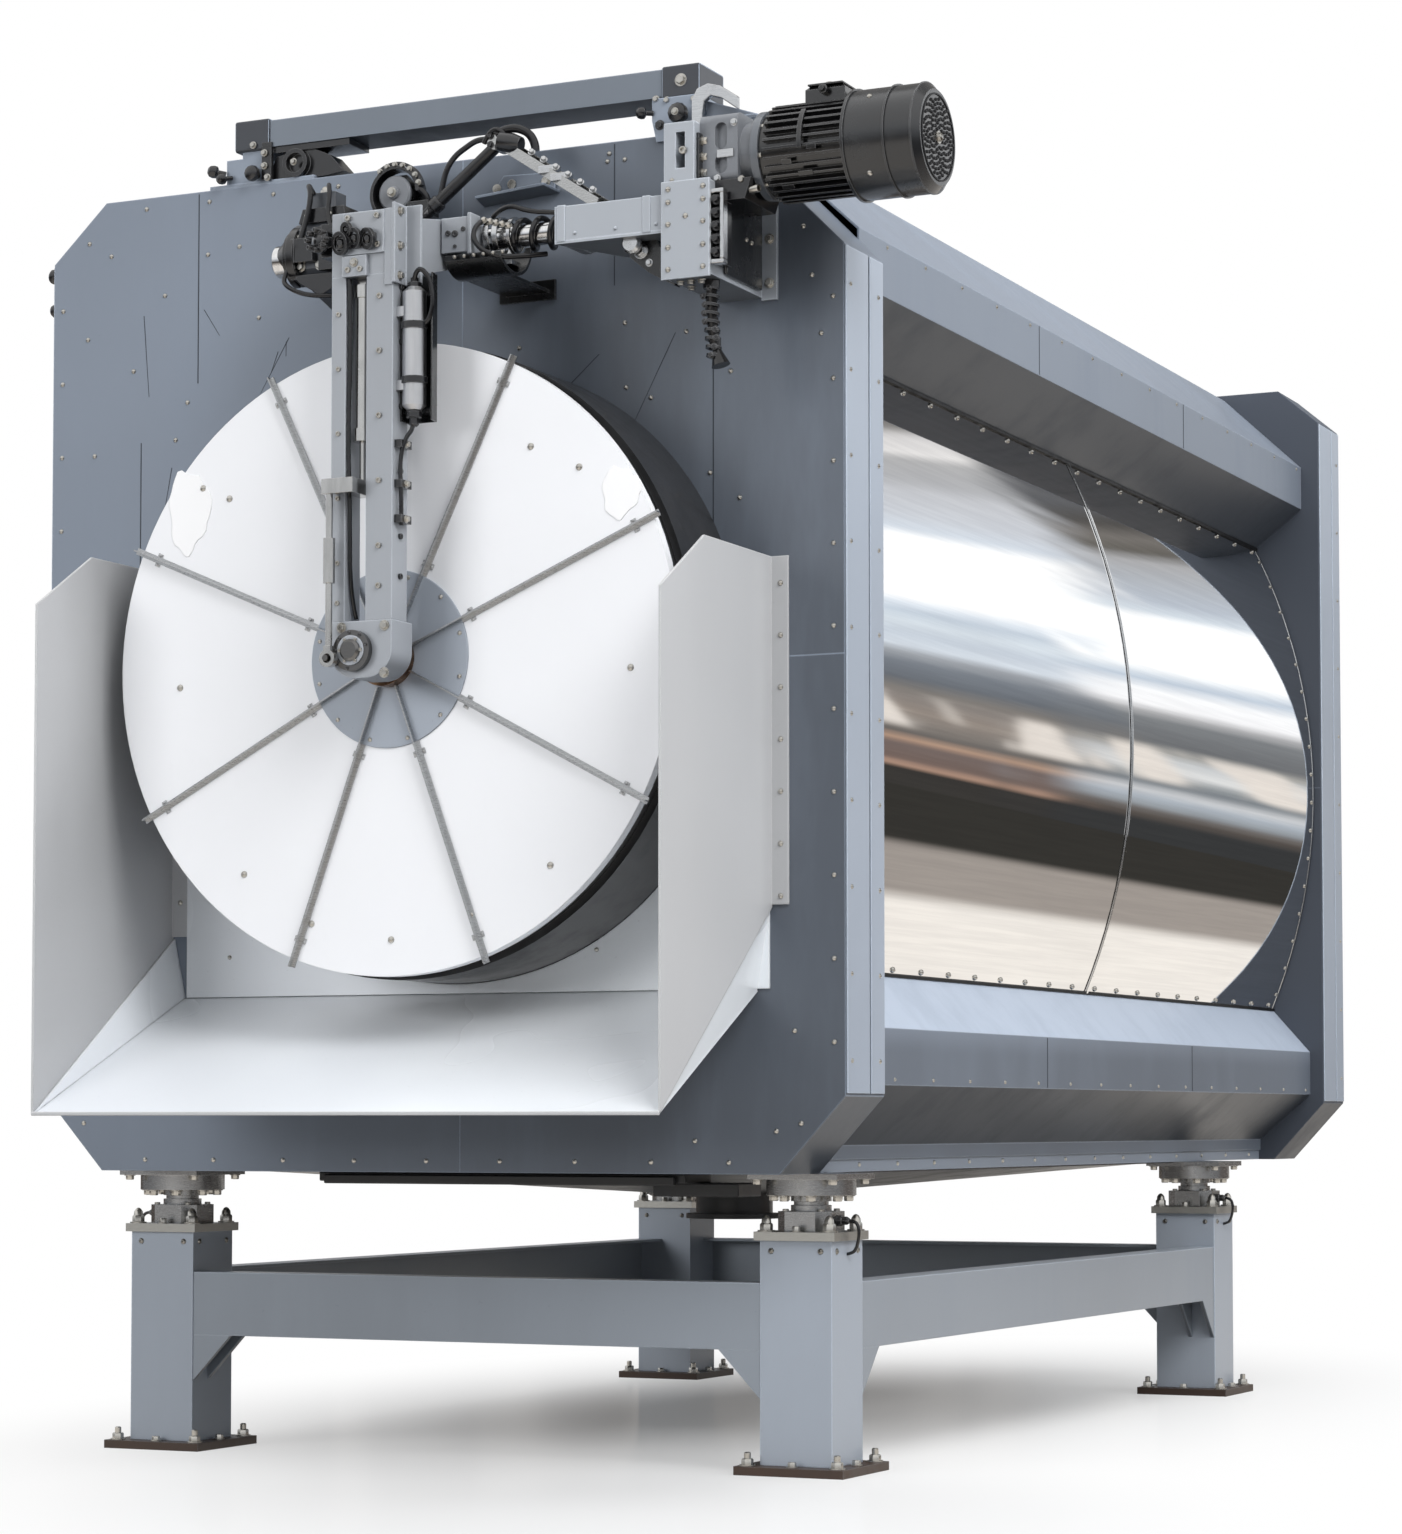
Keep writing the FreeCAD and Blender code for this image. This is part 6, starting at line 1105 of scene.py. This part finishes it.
def motor_fittings():
    """Grille, cowl bands, terminal lid, fin bridges and screws of the arm's motor and gear case."""
    grille, bright, dark, bands, bridges, gear = (Shape(MOTOR) for _ in range(6))
    for k in range(6, 150):
        radius, a = 0.0064 * math.sqrt(k), k * GOLDEN_ANGLE
        grille.turned((MOTOR_END, radius * math.cos(a), radius * math.sin(a)), X,
                      [(-0.0005, 0.0040), (0.0030, 0.0026)], 7)
    grille.ring((MOTOR_END + 0.0005, 0, 0), X, 0.084, 0.003, 48, width=0.003)
    grille.piece("fan_grille", "grille")
    bright.turned((MOTOR_END, 0, 0), X, [
        (-0.0005, 0.013), (0.003, 0.013), (0.003, 0.009), (0.008, 0.008), (0.010, 0.005)], 20)
    for c, s in around(4, 0.5):
        bright.rivet((1.100, 0.107 * c, 0.107 * s), (0, c, s), 0.006, 0.004)
    for c, s in around(8, 0.25):
        bright.screw((0.866, 0.078 * c, 0.078 * s), X, 0.006, 0.006)
    bright.bolt((0.992, -0.020, 0.120), Z, 0.007, 0.008)
    bright.bolt((0.828, -0.078, -0.060), -Y, 0.006, 0.005)
    bright.screw((0.846, -0.070, -0.080), (1, -0.3, 0), 0.008, 0.020)
    bright.piece("motor_screws", "bolt_zinc")
    for x, radius, thickness, width in (
            (1.140, 0.1085, 0.004, 0.004), (1.054, 0.1085, 0.004, 0.006), (1.196, 0.1075, 0.003, 0.003)):
        bands.ring((x, 0, 0), X, radius, thickness, 64, width=width)
    bands.piece("cowl_bands", "cowl_black")
    dark.block(0.955, 1.030, -0.044, 0.044, 0.119, 0.123)
    dark.turned((0.9925, -0.042, 0.108), -Y, [(0, 0.010), (0.014, 0.010), (0.014, 0.007), (0.022, 0.006)], 8)
    for start in (0.6, 2.4):
        dark.ring((0.960, 0, 0), X, 0.0985, 0.004, 20, start, 0.9, width=0.010)
    dark.piece("terminal_lid", "motor_black", bevel=0.0015)
    for a, x, width in ((0.35, 0.93, 0.02), (0.62, 0.965, 0.03), (0.90, 0.92, 0.025), (0.10, 0.985, 0.02)):
        bridges.ring((x, 0, 0), X, 0.0972, 0.0015, 6, a + math.pi, 0.10, width)
    bridges.piece("fin_bridges", "motor_black")
    gear.block(0.776, 0.812, -0.0815, -0.077, -0.012, 0.004)
    for x, z in ((0.812, 0.056), (0.776, -0.052)):
        gear.bolt((x, -0.078, z), -Y, 0.006, 0.006)
    gear.piece("gear_case_screws", "silver", bevel=0.001)


# Top beam

def beam_fittings():
    """Knobs, cam and bolts round the beam's stools."""
    dark, bright = Shape(FRONT), Shape(FRONT)
    for at, towards, radius, length in (
            ((0.600, -0.010, 2.772), -Y, 0.022, 0.045),
            ((0.530, -0.010, 2.786), (-0.8, -0.5, 0), 0.013, 0.036),
            ((-0.506, 0, 2.772), (-0.9, -0.4, 0.2), 0.014, 0.040),
            ((-0.490, 0, 2.762), (-0.6, -0.8, -0.2), 0.012, 0.036),
            ((-0.428, 0.004, 2.762), -Y, 0.018, 0.034)):
        dark.knob(at, towards, radius, length)
    dark.bolt((0.545, -0.010, 2.760), -Y, 0.008, 0.008)
    dark.plate([(-0.404, 2.760), (-0.384, 2.800), (-0.300, 2.812), (-0.250, 2.790), (-0.215, 2.752),
                (-0.260, 2.746), (-0.390, 2.746)], 0.010, 0.060)
    dark.ring((-0.330, 0.004, 2.778), Y, 0.026, 0.010, 24, width=0.020)
    dark.block(-0.412, -0.388, -0.006, 0.004, 2.748, 2.830)
    dark.block(-0.397, -0.200, 0.004, 0.090, 2.806, 2.820)
    dark.piece("beam_clutter", "bolt_black", bevel=0.0015)
    bright.bolt((0.590, -0.004, 2.850), -Y, 0.010, 0.007)
    bright.bolt((0.600, -0.054, 2.772), -Y, 0.006, 0.004)
    for x, z in ((-0.432, 2.826), (-0.404, 2.806), (-0.404, 2.778), (-0.396, 2.752), (-0.330, 2.779),
                 (0.560, 2.810), (0.622, 2.806), (0.535, 2.815), (0.640, 2.700), (0.655, 2.695)):
        bright.bolt((x, -0.008, z), -Y, 0.006, 0.006)
    for x in (-0.52, -0.46, -0.40, -0.34):
        bright.bolt((x, 0.055, 2.748), Z, 0.008, 0.008)
    bright.piece("beam_bolts", "bolt_zinc")


def arch_fittings():
    """Arched bracket above the carrier's post, with the plate behind it."""
    arch, plate = Shape(FRONT), Shape(FRONT)
    arch.plate([(0.640, 2.690), (0.640, 2.790), (0.652, 2.812), (0.676, 2.820), (0.704, 2.812),
                (0.742, 2.786), (0.742, 2.760), (0.706, 2.786), (0.682, 2.794), (0.668, 2.784),
                (0.664, 2.760), (0.664, 2.690)],
               -0.060, -0.046)
    arch.piece("arched_bracket", "silver", bevel=0.002)
    plate.block(0.664, 0.780, -0.044, 0.080, 2.742, 2.750)
    plate.plate([(0.664, 2.700), (0.780, 2.716), (0.780, 2.750), (0.664, 2.790)], -0.040, -0.034)
    plate.piece("arch_plate", "panel_paint", bevel=0.001)


def beam_ends():
    """Dark covers on the beam's ends and the seams beside them."""
    joints, ends = Shape(FRONT), Shape(FRONT)
    for x in (-0.396, 0.547):
        joints.block(x - 0.0015, x + 0.0015, -0.0015, 0.1115, 2.8185, 2.8795)
    joints.piece("beam_joints", "seam")
    for x in (-0.4805, 0.5465):
        ends.block(x, x + 0.085, -0.005, 0.1145, 2.8155, 2.8825)
    ends.piece("beam_end_covers", "end_paint", bevel=0.004)


def latch():
    """Two knobs on a dark plate at the casing's left edge."""
    dark = Shape((-PANEL_HALF, FACE_Y, 0))
    dark.block(-0.012, 0, 0.040, 0.075, 2.515, 2.612)
    dark.knob((-0.010, 0.058, 2.598), (-1, -0.2, 0.2), 0.017, 0.040)
    dark.knob((-0.010, 0.058, 2.530), (-1, -0.2, -0.2), 0.015, 0.036)
    dark.piece("side_latch", "bolt_black", bevel=0.002)


for fittings in (stand_fittings, panel_fittings, edge_fittings, skin_fittings, roof_and_rear,
                 drum_motor_fittings, trough, chute_fittings, door_fittings, door_patches, strut_fittings,
                 canister_fittings, hub_fittings, left_end_fittings, guide_fittings, sleeve_fittings,
                 shaft_hoses, conduit_fittings, angle_fittings, carrier_fittings, housing_fittings,
                 gooseneck_fittings, motor_fittings, beam_fittings, arch_fittings, beam_ends, latch):
    fittings()


# Camera, floor and light

def heights(*stops):
    """Colours of a wall by height, from the eye's scale."""
    return [(place, rgb(*colour)) for place, *colour in stops]


WARM_HALL = heights(
    (0.000, 58, 56, 54), (0.007, 176, 144, 126), (0.014, 116, 100, 94), (0.032, 116, 103, 99),
    (0.040, 178, 148, 128), (0.049, 108, 104, 101), (0.062, 134, 127, 121), (0.078, 146, 136, 128),
    (0.094, 138, 131, 126), (0.106, 126, 122, 118), (0.118, 106, 111, 118), (0.136, 122, 128, 136),
    (0.150, 160, 164, 170), (0.160, 214, 222, 231), (0.175, 200, 209, 220), (0.188, 216, 225, 233),
    (0.201, 198, 209, 221), (0.212, 226, 234, 243), (0.220, 266, 266, 266), (0.286, 266, 266, 266),
    (0.296, 212, 220, 230), (0.312, 204, 208, 215), (0.332, 198, 200, 205), (0.346, 178, 179, 182),
    (0.362, 178, 178, 179), (0.369, 228, 226, 225), (0.380, 214, 212, 212), (0.388, 130, 128, 126))
COOL_HALL = heights(
    (0.000, 56, 57, 58), (0.010, 86, 80, 76), (0.016, 110, 106, 104), (0.024, 150, 156, 162),
    (0.032, 174, 182, 191), (0.042, 204, 206, 209), (0.052, 118, 124, 130), (0.060, 150, 155, 158),
    (0.070, 222, 223, 223), (0.084, 202, 205, 207), (0.094, 160, 159, 156), (0.104, 110, 112, 115),
    (0.131, 126, 129, 132), (0.141, 180, 180, 182), (0.150, 248, 248, 250), (0.168, 250, 251, 253),
    (0.180, 192, 204, 218), (0.190, 236, 241, 246), (0.196, 266, 266, 266), (0.248, 266, 266, 266),
    (0.256, 210, 219, 228), (0.267, 186, 194, 205), (0.290, 176, 180, 186), (0.305, 172, 172, 174),
    (0.313, 100, 97, 92), (0.322, 118, 114, 110), (0.331, 82, 80, 78), (0.345, 96, 97, 100))
PALE_WALLS = [(0.0, (0.46, 0.46, 0.47)), (0.04, (0.34, 0.36, 0.38)), (0.14, (0.60, 0.62, 0.65)),
              (0.27, (0.92, 0.94, 0.97)), (0.50, (1.0, 1.0, 1.0))]


def studio():
    """White room in which polished steel sees a hall of pale walls, window bands and a dark skirting."""
    world = bpy.data.worlds.new("studio")
    world.use_nodes = True
    bpy.context.scene.world = world
    w = Graph(world.node_tree)
    w.tree.nodes.clear()
    outward = w.place(out="Generated")
    slow = w.noise(w.place((3.0, 3.0, 4.0), "Generated"), 1.0, 1)
    fine = w.noise(w.place((2.0, 2.0, 90.0), "Generated"), 1.0, 3)
    rooms = w.noise(w.place((46.0, 46.0, 9.0), "Generated"), 1.0, 2)
    rise = w.axis(outward, "Z")
    stretch = 2.0
    height = (rise + slow * 0.010 + fine * 0.007 - 0.0085) * stretch

    def spread(stops):
        return [(place * stretch, shade(colour, 1.1, 1.2)) for place, colour in stops]

    side = (w.axis(outward, "X").size() + rise * rise * 1.6 + rooms * 0.06 - 0.03).ramp(0.332, 0.368)
    hall = w.tint(side, w.bands(height, spread(COOL_HALL)), w.bands(height, spread(WARM_HALL)))
    panes = rooms.ramp(0.50, 0.60) * rise.ramp(0.050, 0.062) * rise.ramp(0.104, 0.090)
    hall = w.tint(panes, hall, rgb(238, 230, 222))
    lined = w.tint(w.axis(outward, "Y").ramp(0.20, 0.44), w.bands(height, spread(PALE_WALLS)), hall)
    ambient = w.node("ShaderNodeBackground", {}, {"Color": (0.97, 0.985, 1.0), "Strength": 0.46})
    surround = w.node("ShaderNodeBackground", {}, {"Color": lined})
    backdrop = w.node("ShaderNodeBackground", {}, {"Color": (1.0, 1.0, 1.0)})
    lit = w.mixed(w.ray("Glossy"), ambient, surround)
    shown = w.mixed(w.ray("Camera").most(w.ray("Transmission")), lit, backdrop)
    w.node("ShaderNodeOutputWorld", {}, {"Surface": shown}, None)


def lamp(name, place, aim, size, power):
    """White rectangle of light that polished steel doesn't see."""
    data = bpy.data.lights.new(name, "AREA")
    data.shape = "RECTANGLE"
    data.size, data.size_y = size
    data.energy = power
    lamp_object = bpy.data.objects.new(name, data)
    lamp_object.location = place
    lamp_object.rotation_euler = (Vector(aim) - Vector(place)).to_track_quat("-Z", "Y").to_euler()
    lamp_object.visible_glossy = False
    bpy.context.scene.collection.objects.link(lamp_object)


def floor():
    """Pale floor, greyer towards the door side as painted shade, that a painted glow fades into the white
    surround away from the machine; to polished steel it shows a painted floor with a painted shadow under the
    machine.
    """
    mesh = bpy.data.meshes.new("floor")
    reach = 60.0
    mesh.from_pydata([(-reach, -reach, 0), (reach, -reach, 0), (reach, reach, 0), (-reach, reach, 0)], [],
                     [(0, 1, 2, 3)])
    piece = bpy.data.objects.new("floor", mesh)
    bpy.context.scene.collection.objects.link(piece)
    m = Finish("studio floor", Roughness=1.0, Specular_IOR_Level=0.0)
    at = m.place((1, 1, 0))
    ahead = m.axis(at, "X") * 0.425 - m.axis(at, "Y") * 0.905
    across = m.axis(at, "X").size()
    # Painted shade: the floor is greyer towards the door side.
    m.set(Base_Color=m.tint(ahead.ramp(1.0, 4.6), (0.80, 0.80, 0.80), (0.66, 0.66, 0.665)))
    ring = m.node("ShaderNodeVectorMath", {"operation": "DISTANCE"},
                  {0: m.place((1.0, 0.526, 0.0)), 1: (0.0, 0.158, 0.0)}, "Value")
    # Painted shade and reflection of the machine ahead of the door: there the glow is held back and the floor
    # stays greyer.
    painted_front_shade = m.node("ShaderNodeVectorMath", {"operation": "DISTANCE"}, {0: at, 1: (0.8, -2.2, 0.0)}, "Value")
    # Share of the painted glow, which whitens the floor away from the machine; it is least under the machine,
    # where the lit floor and its shadows show.
    white = (ring.ramp(0.0, 1.85) * (1.0 - painted_front_shade.ramp(1.4, 0.4) * 0.6)).most(0.08)
    # Painted reflection: the floor that polished steel sees, beige near the machine and darker further out,
    # with a painted shadow under the machine.
    painted_reflected_floor = m.tint(across.ramp(3.25, 3.75), (0.95, 0.90, 0.84), (0.38, 0.34, 0.31))
    painted_reflected_floor = m.tint(across.ramp(5.6, 6.6), painted_reflected_floor, (0.04, 0.038, 0.034))
    painted_reflected_floor = m.tint(ring.ramp(1.4, 0.6), painted_reflected_floor, (0.16, 0.155, 0.15))
    shell = m.node("ShaderNodeBsdfDiffuse", {}, {"Color": (0.32, 0.32, 0.32)})
    sheen = m.node("ShaderNodeBsdfAnisotropic", {}, {"Color": (0.9, 0.9, 0.9), "Roughness": 0.10})
    # Painted glow: the floor emits white to the camera, and to polished steel the painted floor colours.
    painted_glow = m.node("ShaderNodeEmission", {}, {"Color": m.tint(m.ray("Glossy"), (1.0, 1.0, 1.0), painted_reflected_floor)})
    shown = m.mixed(0.18, Field(m, m.shader.outputs[0]), sheen)
    shown = m.mixed(white, shown, painted_glow)
    base = m.mixed(m.ray("Camera"), shell, shown)
    m.join(m.tree.nodes["Material Output"].inputs["Surface"], m.mixed(m.ray("Glossy"), base, painted_glow))
    mesh.materials.append(m.material)


def camera():
    data = bpy.data.cameras.new("camera")
    data.lens = 89.609
    data.shift_y = 0.10
    data.clip_end = 200.0
    eye = bpy.data.objects.new("camera", data)
    eye.location = (3.9118, -8.5081, 0.7212)
    eye.rotation_euler = (math.radians(93.0), 0, math.radians(25.175))
    bpy.context.scene.collection.objects.link(eye)
    bpy.context.scene.camera = eye


bpy.context.scene.view_settings.view_transform = "Standard"
studio()
floor()
camera()
lamp("key", (5.5, -5.0, 6.5), (0.0, 0.0, 1.2), (4.0, 4.0), 430.0)
lamp("side", (8.0, -0.5, 4.5), (0.8, 0.3, 1.2), (4.0, 5.0), 210.0)
lamp("fill", (-3.6, -8.2, 2.8), (-0.3, -1.8, 1.5), (4.0, 3.0), 270.0)
lamp("top", (0.5, 0.5, 7.0), (0.0, 0.3, 0.0), (5.0, 6.0), 290.0)
